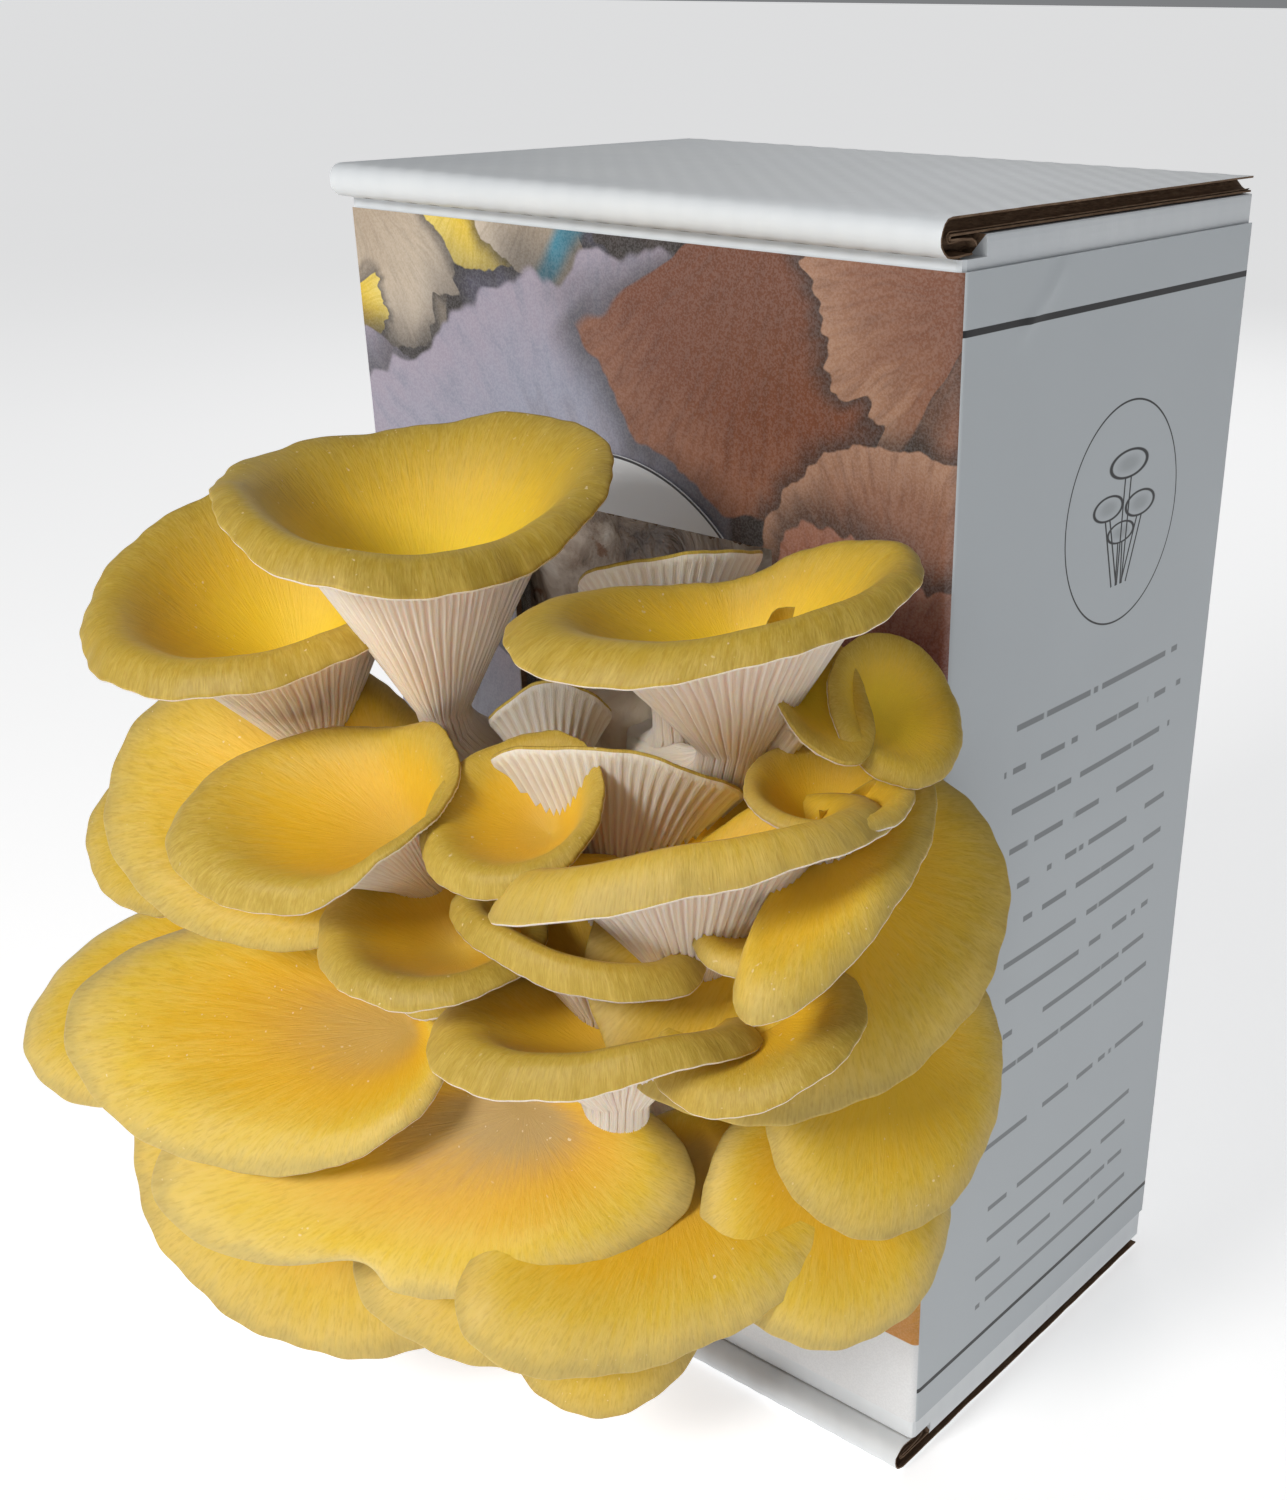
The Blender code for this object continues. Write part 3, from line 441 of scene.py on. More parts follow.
def picture_material():
    """The printed front: a made-up heap of oyster caps over a white foot strip."""
    t = Tree("printed_picture")
    place = t.place()
    x, _, z = t.parts(place)
    u, v = t.times(x, 1 / MM), t.times(z, 1 / MM)
    warp = t.noise(place, 40.0, 2.0)
    u_warp = t.plus(u, t.swing(warp, 7.0))
    v_warp = t.plus(v, t.swing(t.noise(place, 55.0, 2.0), 7.0))
    picture = t.ramp(t.noise(place, 60.0, 4.0), [(0.3, (0.012, 0.010, 0.012)), (0.7, (0.10, 0.05, 0.035))])
    slant = t.minus(t.plus(u_warp, 22.0), t.times(t.minus(v_warp, 240.0), 0.8))
    glint = t.times(t.step(t.size(slant), 5.0, 1.0), t.step(v_warp, 222.0, 232.0))
    for number in range(len(PRINTED_CAPS)):
        if number == CAPS_UNDER_GLINT:
            picture = t.mix(glint, picture, (0.05, 0.36, 0.52))
        picture = printed_cap(t, picture, u_warp, v_warp, number)
    strip = t.step(v, PICTURE_LOW + 0.1, PICTURE_LOW - 0.1)
    colour = t.mix(strip, picture, (0.72, 0.73, 0.74))
    grain = t.noise(place, 2600.0, 1.0)
    colour = t.mix(0.06, colour, t.ramp(grain, [(0.4, (0.1, 0.1, 0.1)), (0.6, (0.8, 0.8, 0.8))]))
    bump = t.bump(t.noise(place, 300.0, 3.0), 0.00006, 0.4)
    return t.finish(colour, t.step(warp, 0.3, 0.7, 0.30, 0.40), bump, Specular_IOR_Level=0.4,
                    Coat_Weight=0.08, Coat_Roughness=0.25)


def side_print_material():
    """The printed side: pale ground painted darker and bluer as shade and cool light, two black rules, a
    ring with a clump of caps, rows of dashes.
    """
    t = Tree("printed_side")
    place = t.place()
    _, y, z = t.parts(place)
    u, v = t.times(y, 1 / MM), t.times(z, 1 / MM)
    cloud = t.noise(place, 10.0, 2.0)
    ink = t.most(*(rule(t, v, height, RULE_HALF) for height in RULE_HEIGHTS))
    du, dv = t.minus(u, RING_CENTRE[0]), t.minus(v, RING_CENTRE[1])
    ink = t.most(ink, rule(t, t.distance(du, dv), RING_RADIUS, RING_HALF))
    ink = t.most(ink, sprig(t, du, dv))
    ink = t.most(ink, word_dashes(t, u, v))
    # pale paper ground, painted darker and bluer than the front's white as the side's shade and cool light
    ground = t.mix(t.step(cloud, 0.3, 0.7), (0.46, 0.495, 0.52), (0.51, 0.545, 0.57))
    colour = t.mix(ink, ground, (0.012, 0.012, 0.014))
    bump = t.bump(t.noise(place, 260.0, 3.0), 0.00005, 0.4)
    return t.finish(colour, t.step(cloud, 0.3, 0.7, 0.36, 0.46), bump, Specular_IOR_Level=0.4)


def rule(t, value, at, half):
    """A printed line where a value passes a number."""
    return t.step(t.size(t.minus(value, at)), half + 0.08, half - 0.02)


def stroke(t, du, dv, start, end, half):
    """A printed straight stroke between two points."""
    dx, dy = end[0] - start[0], end[1] - start[1]
    length = math.hypot(dx, dy)
    px, py = t.minus(du, start[0]), t.minus(dv, start[1])
    along = t.plus(t.times(px, dx / length), t.times(py, dy / length))
    beside = t.minus(t.times(py, dx / length), t.times(px, dy / length))
    inside = t.times(t.math("GREATER_THAN", along, 0.0), t.math("LESS_THAN", along, length))
    return t.times(t.step(t.size(beside), half + 0.1, half - 0.02), inside)


def sprig(t, du, dv):
    """A plain clump of caps on bent stems, drawn in line inside the ring."""
    ink = 0.0
    for across, up, wide, high in SPRIG_CAPS:
        x = t.math("DIVIDE", t.minus(du, across), wide)
        y = t.math("DIVIDE", t.minus(dv, up), high)
        away = t.distance(x, y)
        ink = t.most(ink, t.step(t.size(t.minus(away, 1.0)), 0.13, 0.05))
        ink = t.most(ink, t.times(t.step(away, 0.95, 0.2), 0.25))
        for lean in (-0.16, 0.16):
            foot, neck = (0.3 * across + lean * 6.0, SPRIG_FOOT), (across + lean * wide, up - high)
            ink = t.most(ink, stroke(t, du, dv, neck, foot, 0.22))
    return ink


def word_dashes(t, u, v):
    """Rows of dashes of word length, centred, in three blocks down the side."""
    line = t.math("DIVIDE", v, LINE_PITCH)
    row = t.math("FLOOR", line)
    height = t.minus(line, row)
    body = t.step(t.size(t.minus(height, 0.5)), 0.09, 0.06)
    words = t.noise(t.join(t.times(u, 0.14), t.times(row, 13.7), 4.0), 1.0, 1.0)
    reach = t.noise(t.join(t.times(row, 3.3), 0.0, 0.0), 1.0, 1.0)
    half = t.step(reach, 0.3, 0.7, 29.0, 37.0)
    inside = t.step(t.size(t.minus(u, TEXT_MIDDLE)), t.plus(half, 0.2), half)
    blocks = 0.0
    for low, high in TEXT_BLOCKS:
        rows = t.times(t.math("GREATER_THAN", v, low), t.math("LESS_THAN", v, high))
        blocks = t.most(blocks, rows)
    dashes = t.times(t.times(body, t.step(words, 0.40, 0.42)), inside)
    return t.times(t.times(dashes, blocks), 0.6)


def sticker_material():
    """Bare white sticker paper with a thin dark outline."""
    t = Tree("sticker_white")
    place = t.place()
    x, _, z = t.parts(place)
    du = t.minus(t.times(x, 1 / MM), STICKER_CENTRE[0])
    dv = t.minus(t.times(z, 1 / MM), STICKER_CENTRE[1])
    outline = rule(t, t.distance(du, dv), STICKER_RADIUS - 0.35, 0.22)
    colour = t.mix(outline, (0.76, 0.78, 0.80), (0.03, 0.03, 0.035))
    bump = t.bump(t.noise(place, 500.0, 2.0), 0.00005, 0.4)
    return t.finish(colour, 0.38, bump)


def block_material():
    """Substrate grown through: white and grey felt and rust spots, with painted shade darkening its
    hollows.
    """
    t = Tree("mycelium_mottle")
    place = t.place()
    patches = t.noise(place, 70.0, 5.0, 0.65, 1.0)
    spots = t.noise(place, 160.0, 4.0, 0.6)
    felt = t.noise(place, 900.0, 3.0)
    # the low patches, which the bump sinks into hollows, go dark brown: painted shade over the real grey
    # and white felt
    colour = t.ramp(patches, [(0.30, (0.12, 0.085, 0.065)), (0.44, (0.34, 0.26, 0.20)),
                              (0.56, (0.55, 0.47, 0.40)), (0.72, (0.80, 0.75, 0.68))])
    colour = t.mix(t.times(t.step(spots, 0.60, 0.70), 0.8), colour, (0.24, 0.10, 0.04))
    normal = t.bump(felt, 0.0004, 0.5, t.bump(patches, 0.003, 0.8))
    return t.finish(colour, t.step(patches, 0.35, 0.6, 0.35, 0.75), normal)


def film_material():
    """Crumpled clear bag film, seen mostly by its gloss."""
    t = Tree("clear_bag_film")
    place = t.place()
    creases = t.noise(place, 55.0, 5.0, 0.6, 1.5)
    normal = t.bump(creases, 0.003, 0.7)
    alpha = t.step(creases, 0.35, 0.7, 0.25, 0.45)
    return t.finish((0.62, 0.63, 0.62), 0.12, normal, Alpha=alpha)


# ---------------------------------------------------------------- mesh helpers
def new_piece(name, shape, surfaces, body, slot, *nodes):
    """Turn a bmesh into a smooth piece that rides on a body and stands for CAD nodes."""
    bmesh.ops.recalc_face_normals(shape, faces=shape.faces)
    data = bpy.data.meshes.new(name)
    shape.to_mesh(data)
    shape.free()
    data.shade_smooth()
    for surface in surfaces:
        data.materials.append(surface)
    piece = bpy.data.objects.new(name, data)
    bpy.context.scene.collection.objects.link(piece)
    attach(piece, body)
    if nodes:
        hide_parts(*nodes)
    return piece


def sharpen(piece, degrees=35):
    """Keep edges sharper than an angle crisp."""
    piece.data.set_sharp_from_angle(angle=math.radians(degrees))
    return piece


def wobble(point, scale, amount, seed=0.0):
    """A smooth repeatable shift for a point, all in millimetres."""
    return (noise.noise(Vector(point) / scale + Vector((seed, seed * 1.7, -seed)))) * amount


def grid_sheet(shape, front, back, slots=(0, 1, 1), keep=None):
    """A closed thin sheet between two grids of points; slots are for front, back and edges."""
    rows, columns = len(front), len(front[0])
    top = [[shape.verts.new(Vector(p) * MM) for p in row] for row in front]
    low = [[shape.verts.new(Vector(p) * MM) for p in row] for row in back]
    kept = {(i, j) for i in range(rows - 1) for j in range(columns - 1) if keep is None or keep(i, j)}
    for i, j in sorted(kept):
        face = shape.faces.new((top[i][j], top[i][j + 1], top[i + 1][j + 1], top[i + 1][j]))
        face.material_index = slots[0]
        face = shape.faces.new((low[i + 1][j], low[i + 1][j + 1], low[i][j + 1], low[i][j]))
        face.material_index = slots[1]
        sides = (((i - 1, j), (i, j), (i, j + 1)), ((i + 1, j), (i + 1, j + 1), (i + 1, j)),
                 ((i, j - 1), (i + 1, j), (i, j)), ((i, j + 1), (i, j + 1), (i + 1, j + 1)))
        for neighbour, (a, b), (c, d) in sides:
            if neighbour not in kept:
                face = shape.faces.new((top[c][d], top[a][b], low[a][b], low[c][d]))
                face.material_index = slots[2]
    loose = [vert for row in top + low for vert in row if not vert.link_faces]
    bmesh.ops.delete(shape, geom=loose, context="VERTS")


# ---------------------------------------------------------------- mushrooms
def cap_axes(shape):
    """The cap's own axes: out of its top, towards its front and towards its side."""
    heading, elevation = (math.radians(a) for a in shape["facing"])
    roll = math.radians(shape["roll"])
    up = Vector((math.sin(heading) * math.cos(elevation), -math.cos(heading) * math.cos(elevation),
                 math.sin(elevation)))
    front = Vector((math.sin(heading) * math.sin(elevation), -math.cos(heading) * math.sin(elevation),
                    -math.cos(elevation)))
    side = up.cross(front)
    rolled_front = front * math.cos(roll) + side * math.sin(roll)
    return up, rolled_front, side * math.cos(roll) - front * math.sin(roll)


def rim_radius(shape, angle):
    """Distance from the eye to the rim: an ellipse set off from the eye, with lobes and a notch."""
    front, back, side = shape["reach"]
    half, shift, skew = (front + back) / 2, (front - back) / 2, shape["skew"]
    a = (math.cos(angle) / half) ** 2 + (math.sin(angle) / side) ** 2
    b = -(shift * math.cos(angle) / half ** 2 + skew * math.sin(angle) / side ** 2)
    c = (shift / half) ** 2 + (skew / side) ** 2 - 1
    radius = (-b + math.sqrt(max(b * b - a * c, 0))) / a
    amount, count, phase = shape["lobe"]
    radius *= 1 + amount * math.cos(count * angle + math.radians(phase))
    return radius


def notch_share(shape, out, angle):
    """How much of the way to the rim is left inside the split of a cap's margin."""
    if not shape["notch"]:
        return 1.0
    heading, depth, spread = shape["notch"]
    away = (angle - math.radians(heading) + math.pi) % (2 * math.pi) - math.pi
    return 1 - depth * math.exp(-(away / math.radians(spread)) ** 2) * out ** 5


def top_height(shape, out, angle):
    """Height of the cap's top over its eye, a fraction `out` of the way to the rim."""
    front, back = shape["rise"]
    forward = (1 + math.cos(angle)) / 2
    height = (front * forward + back * (1 - forward)) * out ** shape["power"]
    rolled = max(0.0, (out - 0.72) / 0.28)
    height -= shape["curl"] * (0.35 + 0.65 * forward) * rolled ** 2
    amount, count, phase = shape["wave"]
    return height + amount * out ** 2 * math.sin(count * angle + math.radians(phase))


def flesh(shape, out):
    """Thickness from the cap's top down to the gill edges."""
    return 1.4 + 1.1 * (1 - out) + shape["gills"] * (1 - out) ** 2


# rings over the cap, round its rim (with the drop in millimetres), under it and down the stem
TOP_OUTS = (0.04, 0.12, 0.22, 0.34, 0.46, 0.57, 0.67, 0.76, 0.84, 0.90, 0.95, 0.985, 1.0)
RIM_OUTS = ((1.006, 0.25), (1.007, 0.6), (1.003, 0.95))
UNDER_OUTS = (0.985, 0.955, 0.90, 0.82, 0.72, 0.61, 0.50, 0.40, 0.31, 0.24, 0.18)
STEM_OUTS = (0.05, 0.11, 0.18, 0.27, 0.38, 0.52, 0.68, 0.84, 1.0)
COLUMNS_PER_GILL = 3
GILL_PROFILE = (1.0, 0.12, 0.12)
GILL_PITCH = 1.8
STEM_SWELL = 1.2
# waves of the margin up and down, and in and out: count, amount and how they turn with the seed
RUFFLES = ((5, 0.40, 1.0), (11, 0.18, 2.3), (26, 0.05, 4.1))
NIBBLES = ((13, 0.006, 1.0), (37, 0.003, 3.0))
FULL_RUFFLE_REACH = 30


def gill_depth(index, out):
    """How far a gill stands proud, in millimetres: deep in the middle, and some gills stop short."""
    depth = 1.7 * min(1.0, (1.0 - out) / 0.12) * (0.45 + 0.55 * min(1.0, out / 0.5))
    if index % 2 == 1:
        depth *= max(0.0, min(1.0, (out - 0.46) / 0.18))
    elif index % 4 == 2:
        depth *= max(0.12, min(1.0, (out - 0.20) / 0.20))
    return depth


def mean_reach(shape):
    """How far the rim lies from the eye on average."""
    front, back, side = shape["reach"]
    return (front + back) / 4 + side / 2


def cap_skin(shape, seed):
    """A function giving a point on the cap, a distance below its top skin."""
    up, front, side = cap_axes(shape)
    eye = Vector(shape["eye"])
    ruffle = min(1.0, mean_reach(shape) / FULL_RUFFLE_REACH)

    def skin(out, angle, radius, lift):
        nibble = sum(amount * math.sin(count * angle + turns * seed) for count, amount, turns in NIBBLES)
        reach = radius * out * (1 + nibble * out ** 6) * notch_share(shape, out, angle)
        point = eye + (front * math.cos(angle) + side * math.sin(angle)) * reach
        waves = sum(amount * math.sin(count * angle + turns * seed) for count, amount, turns in RUFFLES)
        height = top_height(shape, min(out, 1.0), angle) + waves * ruffle * out ** 4 - lift
        height += wobble(point, 14.0, 1.1, seed) * out * (1 - 0.4 * out)
        return point + up * height

    return skin


def cap_rows(shape, seed, spokes, neck):
    """Rings of points over the cap, round its rim and under its gills to the neck, with their tags.

    A tag says how far out a point is, how near a gill's crest, and how far down the stem."""
    skin = cap_skin(shape, seed)
    rows, tags = [], []
    for out, lift, crest in [(out, 0.0, 0.0) for out in TOP_OUTS] + [(*ring, 0.6) for ring in RIM_OUTS]:
        rows.append([skin(out, angle, radius, lift) for angle, radius in spokes])
        tags.append([(out, crest, 0.0)] * len(spokes))
    for out in [o for o in UNDER_OUTS if o > neck] + [neck]:
        row, tag = [], []
        for i, (angle, radius) in enumerate(spokes):
            ridge = GILL_PROFILE[i % COLUMNS_PER_GILL]
            depth = min(gill_depth(i // COLUMNS_PER_GILL, out), flesh(shape, out) - 0.8)
            bend = 0.020 * math.sin(18 * out + seed + 5 * angle) * (1 - out)
            row.append(skin(out, angle + bend, radius, flesh(shape, out) - depth * (1 - ridge)))
            tag.append((out, ridge, 0.0))
        rows.append(row)
        tags.append(tag)
    return rows, tags


def stem_rows(shape, seed, spokes, neck):
    """Rings of points down a bent stem, from the neck to the common base, with their tags."""
    up, axis_a, axis_b = cap_axes(shape)
    root = Vector(shape["root"])
    start = Vector(shape["eye"]) - up * flesh(shape, neck)
    straight, span = (root - start).normalized(), (root - start).length
    first = start + (straight - up).normalized() * span * 0.35
    second = root - (straight + Vector((0, 0.8, 0))).normalized() * span * 0.35
    heading = -up
    rows, tags = [], []
    for along in STEM_OUTS:
        v = 1 - along
        centre = start * v ** 3 + first * 3 * v ** 2 * along
        centre += second * 3 * v * along ** 2 + root * along ** 3
        direction = (first - start) * v ** 2 + (second - first) * 2 * v * along
        direction += (root - second) * along ** 2
        turn = heading.rotation_difference(direction.normalized())
        axis_a, axis_b, heading = turn @ axis_a, turn @ axis_b, direction.normalized()
        blend, fade = min(1.0, along * 1.6), max(0.0, 1 - along * 2.2)
        row, tag = [], []
        for i, (angle, radius) in enumerate(spokes):
            gap = 1 - GILL_PROFILE[i % COLUMNS_PER_GILL]
            gap *= fade * (1.0 if (i // COLUMNS_PER_GILL) % 4 == 0 else 0.25)
            knobs = 0.09 * math.sin(3 * angle + seed) + 0.05 * math.sin(7 * angle + 2 * seed + 4 * along)
            width = neck * radius * (1 - blend) + shape["stem"] * STEM_SWELL * blend
            width = width * (1 + knobs * blend) - gap * 0.8
            row.append(centre + (axis_a * math.cos(angle) + axis_b * math.sin(angle)) * width)
            # the crest tag paints shade into the grooves the gills run down onto the stem
            tag.append((neck * v, 1 - gap, blend))
        rows.append(row)
        tags.append(tag)
    return rows, tags


def make_mushroom(name, shape, seed, surfaces):
    """One cap with its gills and stem, as one closed mesh."""
    gill_count = max(24, int(2 * math.pi * mean_reach(shape) / GILL_PITCH / 4) * 4)
    columns = gill_count * COLUMNS_PER_GILL
    angles = [2 * math.pi * i / columns for i in range(columns)]
    spokes = [(angle, rim_radius(shape, angle)) for angle in angles]
    neck = min(0.45, shape["stem"] / (sum(radius for _, radius in spokes) / columns))
    rows, tags = cap_rows(shape, seed, spokes, neck)
    more_rows, more_tags = stem_rows(shape, seed, spokes, neck)

    solid = bmesh.new()
    layers = [solid.verts.layers.float_vector.new(layer) for layer in ("cap", "gill", "tone")]
    tone = Vector(TONES[shape["tone"]])

    def vertex(point, angle, tag):
        made = solid.verts.new(point * MM)
        facts = (math.cos(angle), math.sin(angle), tag[0]), (tag[1], tag[2], 0.0), tone
        for layer, fact in zip(layers, facts):
            made[layer] = Vector(fact)
        return made

    top = vertex(Vector(shape["eye"]), 0.0, (0.0, 0.0, 0.0))
    grid = [[vertex(point, angle, tag) for point, angle, tag in zip(row, angles, tag_row)]
            for row, tag_row in zip(rows + more_rows, tags + more_tags)]
    end = vertex(Vector(shape["root"]), 0.0, (0.0, 1.0, 1.0))
    last_top = len(TOP_OUTS) + 1
    for i in range(columns):
        j = (i + 1) % columns
        solid.faces.new((top, grid[0][i], grid[0][j]))
        solid.faces.new((end, grid[-1][j], grid[-1][i])).material_index = 1
        for level, (upper, lower) in enumerate(zip(grid, grid[1:])):
            face = solid.faces.new((upper[i], lower[i], lower[j], upper[j]))
            face.material_index = 0 if level < last_top else 1
    return new_piece(name + "_flesh", solid, surfaces, "kit", "golden_cap", name)


# how bright the inside, how olive the rim and how buff the middle of a cap is
TONES = {
    "bright": (1.0, 0.35, 0.0), "olive": (0.35, 0.9, 0.2), "amber": (0.1, 0.12, 0.5),
    "buff": (0.0, 0.12, 1.0), "gold": (0.5, 0.15, 0.1),
}


def make_base(surface):
    """The fused stem bases as a knobbly lump."""
    solid = bmesh.new()
    bmesh.ops.create_icosphere(solid, subdivisions=6, radius=1.0)
    for vert in solid.verts:
        x, y, z = vert.co
        point = Vector([c + v * h for c, v, h in zip(BASE_CENTRE, (x, y, z), BASE_HALF)])
        swell = 0.96 + wobble(point, 7.0, 0.10) + wobble(point, 3.0, 0.05, 5.0)
        point = Vector([c + v * h * swell for c, v, h in zip(BASE_CENTRE, (x, y, z), BASE_HALF)])
        point.y = min(point.y, BASE_BACK)
        vert.co = point * MM
    new_piece("stem_base_flesh", solid, [surface], "kit", "pale_flesh", "cluster_base")


# ---------------------------------------------------------------- board panels, label, block and bag
def panel_path():
    """Middle line of an end panel: (y, drop below its outer face, half thickness)."""
    half, bend = BOARD / 2, NOSE_RADIUS - BOARD / 2
    front = -HALF_D - NOSE_OUT + NOSE_RADIUS
    path = [(HALF_D - i * (HALF_D - front) / 24, half, half) for i in range(24)]
    for i in range(9):
        angle = math.radians(90 + 180 * i / 8)
        path.append((front + bend * math.cos(angle), NOSE_RADIUS - bend * math.sin(angle), half))
    tuck_y, turn, under = -HALF_D + BOARD + 1.7, 1.6, NOSE_DROP - half
    path += [(front + 2.0, under, half), (tuck_y - turn - 1.2, under, half * 0.9)]
    for i in range(1, 6):
        angle = math.radians(90 * i / 5)
        path.append((tuck_y - turn + turn * math.sin(angle), under + turn * (1 - math.cos(angle)),
                     half * (0.9 - 0.17 * i / 5)))
    path.append((tuck_y, NOSE_DROP + TUCK_DROP, half * 0.73))
    return path


def panel_normals(path):
    """Outward direction at each point of a panel's middle line."""
    normals = []
    for i in range(len(path)):
        before, after = path[max(i - 1, 0)], path[min(i + 1, len(path) - 1)]
        along, down = after[0] - before[0], after[1] - before[1]
        length = math.hypot(along, down)
        normals.append((-down / length, along / length))
    return normals


def panel_grid(path, normals, offset, columns, trim, upward):
    """Points of one ply: offset gives (share of half thickness, extra) at an x."""
    rows = []
    for index, ((y, drop, half), (out_y, out_drop)) in enumerate(zip(path, normals)):
        row = []
        reach = HALF_W - 0.6 - trim if drop <= NOSE_DROP - 0.8 else HALF_W - BOARD - 1.0 - trim
        for i in range(columns + 1):
            share = i / columns * 2 - 1
            x = share * (reach - 0.35 * abs(noise.noise(Vector((index * 0.7, share * 2, trim * 9)))))
            part, extra = offset(x)
            away = half * part + extra
            height = drop + out_drop * away
            row.append((x, y + out_y * away, HEIGHT - height if upward else height))
        rows.append(row)
    return rows


def make_panel(name, node, body, upward, surfaces):
    """Lid or floor panel: two liners with the fluted ply between them, open at its cut ends."""
    path = panel_path()
    normals = panel_normals(path)
    shape = bmesh.new()

    def relief(x):
        return 0.05 * math.sin(2 * math.pi * x / FLUTE_PITCH)

    def flute(x):
        return 1.05 * (1 + math.sin(2 * math.pi * x / FLUTE_PITCH))

    # each ply's outer and inner face, how many columns it takes, how far its ends stop short, its slots
    plies = ((lambda x: (1.0, relief(x) - 0.05), lambda x: (1.0, relief(x) - 0.40), 150, 0.0, (0, 1, 1)),
             (lambda x: (1.0, -0.42 - flute(x)), lambda x: (1.0, -0.62 - flute(x)), 276, 0.5, (1, 1, 1)),
             (lambda x: (-1.0, 0.35), lambda x: (-1.0, 0.0), 60, 0.15, (1, 1, 1)))
    for outer, inner, columns, trim, slots in plies:
        front = panel_grid(path, normals, outer, columns, trim, upward)
        back = panel_grid(path, normals, inner, columns, trim, upward)
        grid_sheet(shape, front, back, slots)
    return sharpen(new_piece(name, shape, surfaces, body, "white_board", node), 50)


def label_grid():
    """Where the printed sheet runs: points across, as (x, y, out_x, out_y, on the side), and heights."""
    off, bend = 0.45, 1.65
    across = [-74.0, -72.0] + [-70.0 + 2.0 * i for i in range(17)]
    across += [-36.0 + 2.0 * i for i in range(1, 36)] + [36.0 + 2.0 * i for i in range(19)]
    across = sorted(set(across))
    corner_x, corner_y = HALF_W + off - bend, -HALF_D - off + bend
    run = [(x, corner_y - bend, 0.0, -1.0, 0) for x in across if x < corner_x - 0.3]
    for i in range(7):
        angle = math.radians(270 + 90 * i / 6)
        out_x, out_y = math.cos(angle), math.sin(angle)
        run.append((corner_x + bend * out_x, corner_y + bend * out_y, out_x, out_y, int(i > 3)))
    run += [(corner_x + bend, corner_y + (HALF_D - 1 - corner_y) * i / 60, 1.0, 0.0, 1)
            for i in range(1, 61)]
    heights = [LABEL_LOW + (WINDOW_LOW - LABEL_LOW) * i / 42 for i in range(42)]
    heights += [WINDOW_LOW + (WINDOW_TOP - WINDOW_LOW) * i / 52 for i in range(52)]
    heights += [WINDOW_TOP + (LABEL_TOP - WINDOW_TOP) * i / 30 for i in range(31)]
    return run, heights


def label_lift(x, y, z, side):
    """How far the printed sheet stands proud of its board: a soft bulge, and a wrinkle on the side."""
    rise = 0.06 * (1 + noise.noise(Vector((x, y, z)) / 22.0))
    if side:
        middle = max(0.0, math.sin(math.pi * (y + HALF_D) / DEPTH))
        rise += 1.0 * middle * max(0.0, math.sin(math.pi * (z - LABEL_LOW) / (LABEL_TOP - LABEL_LOW)))
        along = max(0.0, min(1.0, (y + 33) / 11))
        away = math.hypot(y + 33 - 11 * along, z - 240 - 9 * along)
        rise += 0.45 * math.exp(-(away / 1.1) ** 2)
    return rise


def make_label(surfaces):
    """The printed sheet round the front and right side, with its torn-out window."""
    run, heights = label_grid()
    shape = bmesh.new()
    grids = []
    for thickness in (0.15, -0.15):
        rows = []
        for z in heights:
            row = []
            for x, y, out_x, out_y, side in run:
                lift = label_lift(x, y, z, side) + thickness
                up = z
                if abs(z - WINDOW_TOP) < 0.01 and WINDOW_LEFT < x < WINDOW_RIGHT:
                    up += 0.9 * abs(noise.noise(Vector((x * 0.9, 3.0, 0.0))))
                row.append((x + out_x * lift, y + out_y * lift, up))
            rows.append(row)
        grids.append(rows)

    def keep(i, j):
        x, z = (run[j][0] + run[j + 1][0]) / 2, (heights[i] + heights[i + 1]) / 2
        in_window = WINDOW_LEFT < x < WINDOW_RIGHT and WINDOW_LOW < z < WINDOW_TOP
        return run[j][3] > -0.99 or not in_window

    grid_sheet(shape, grids[0], grids[1], (0, 2, 2), keep)
    first_side = HALF_W * MM
    for face in shape.faces:
        centre = face.calc_center_median()
        if face.material_index == 0 and (centre.x > first_side and centre.y > (-HALF_D + 0.35) * MM):
            face.material_index = 1
    return sharpen(new_piece("label_sheet", shape, surfaces, "kit", "printed_paper", "label"), 50)


def make_torn_edge(surface, pale):
    """Ragged board plies left along the top of the torn-out window."""
    shape = bmesh.new()
    for y, seed, deep in ((-51.2, 0.0, 0.8), (-50.0, 9.0, 1.6), (-48.8, 4.0, 1.2)):
        rows = []
        for share in (0.0, 1.0):
            row = []
            for i in range(145):
                x = WINDOW_LEFT + 0.2 + (WINDOW_RIGHT - WINDOW_LEFT - 0.4) * i / 144
                torn = deep * max(0.0, noise.noise(Vector((x * 0.55, seed, 0.0))) + 0.15)
                torn += 0.5 * abs(noise.noise(Vector((x * 2.1, seed, 5.0))))
                row.append((x, y + 0.5 * noise.noise(Vector((x * 0.4, seed, 8.0))) * share,
                            WINDOW_TOP + 0.3 - share * (0.3 + torn)))
            rows.append(row)
        grid_sheet(shape, rows, [[(x, y + 0.3, z) for x, y, z in row] for row in rows], (0, 1, 1))
    return new_piece("torn_window_edge", shape, [surface, pale], "kit", "white_board")


def rounded_box(low, high, radius, cuts, ripple, drop=None):
    """A finely divided box with rounded edges and a rippled skin."""
    shape = bmesh.new()
    bmesh.ops.create_cube(shape, size=2.0)
    bmesh.ops.subdivide_edges(shape, edges=shape.edges, cuts=cuts, use_grid_fill=True)
    for vert in shape.verts:
        point = [(a + b) / 2 + v * (b - a) / 2 for a, b, v in zip(low, high, vert.co)]
        core = [min(max(p, a + radius), b - radius) for p, a, b in zip(point, low, high)]
        away = Vector(point) - Vector(core)
        outward = away.normalized() if away.length > 1e-6 else Vector((0, 0, 1))
        place = Vector(core) + (outward * radius if away.length > 1e-6 else away)
        vert.co = (place - outward * ripple(place)) * MM
    if drop is not None:
        spare = [face for face in shape.faces if drop(face.calc_center_median() / MM)]
        bmesh.ops.delete(shape, geom=spare, context="FACES")
    return shape


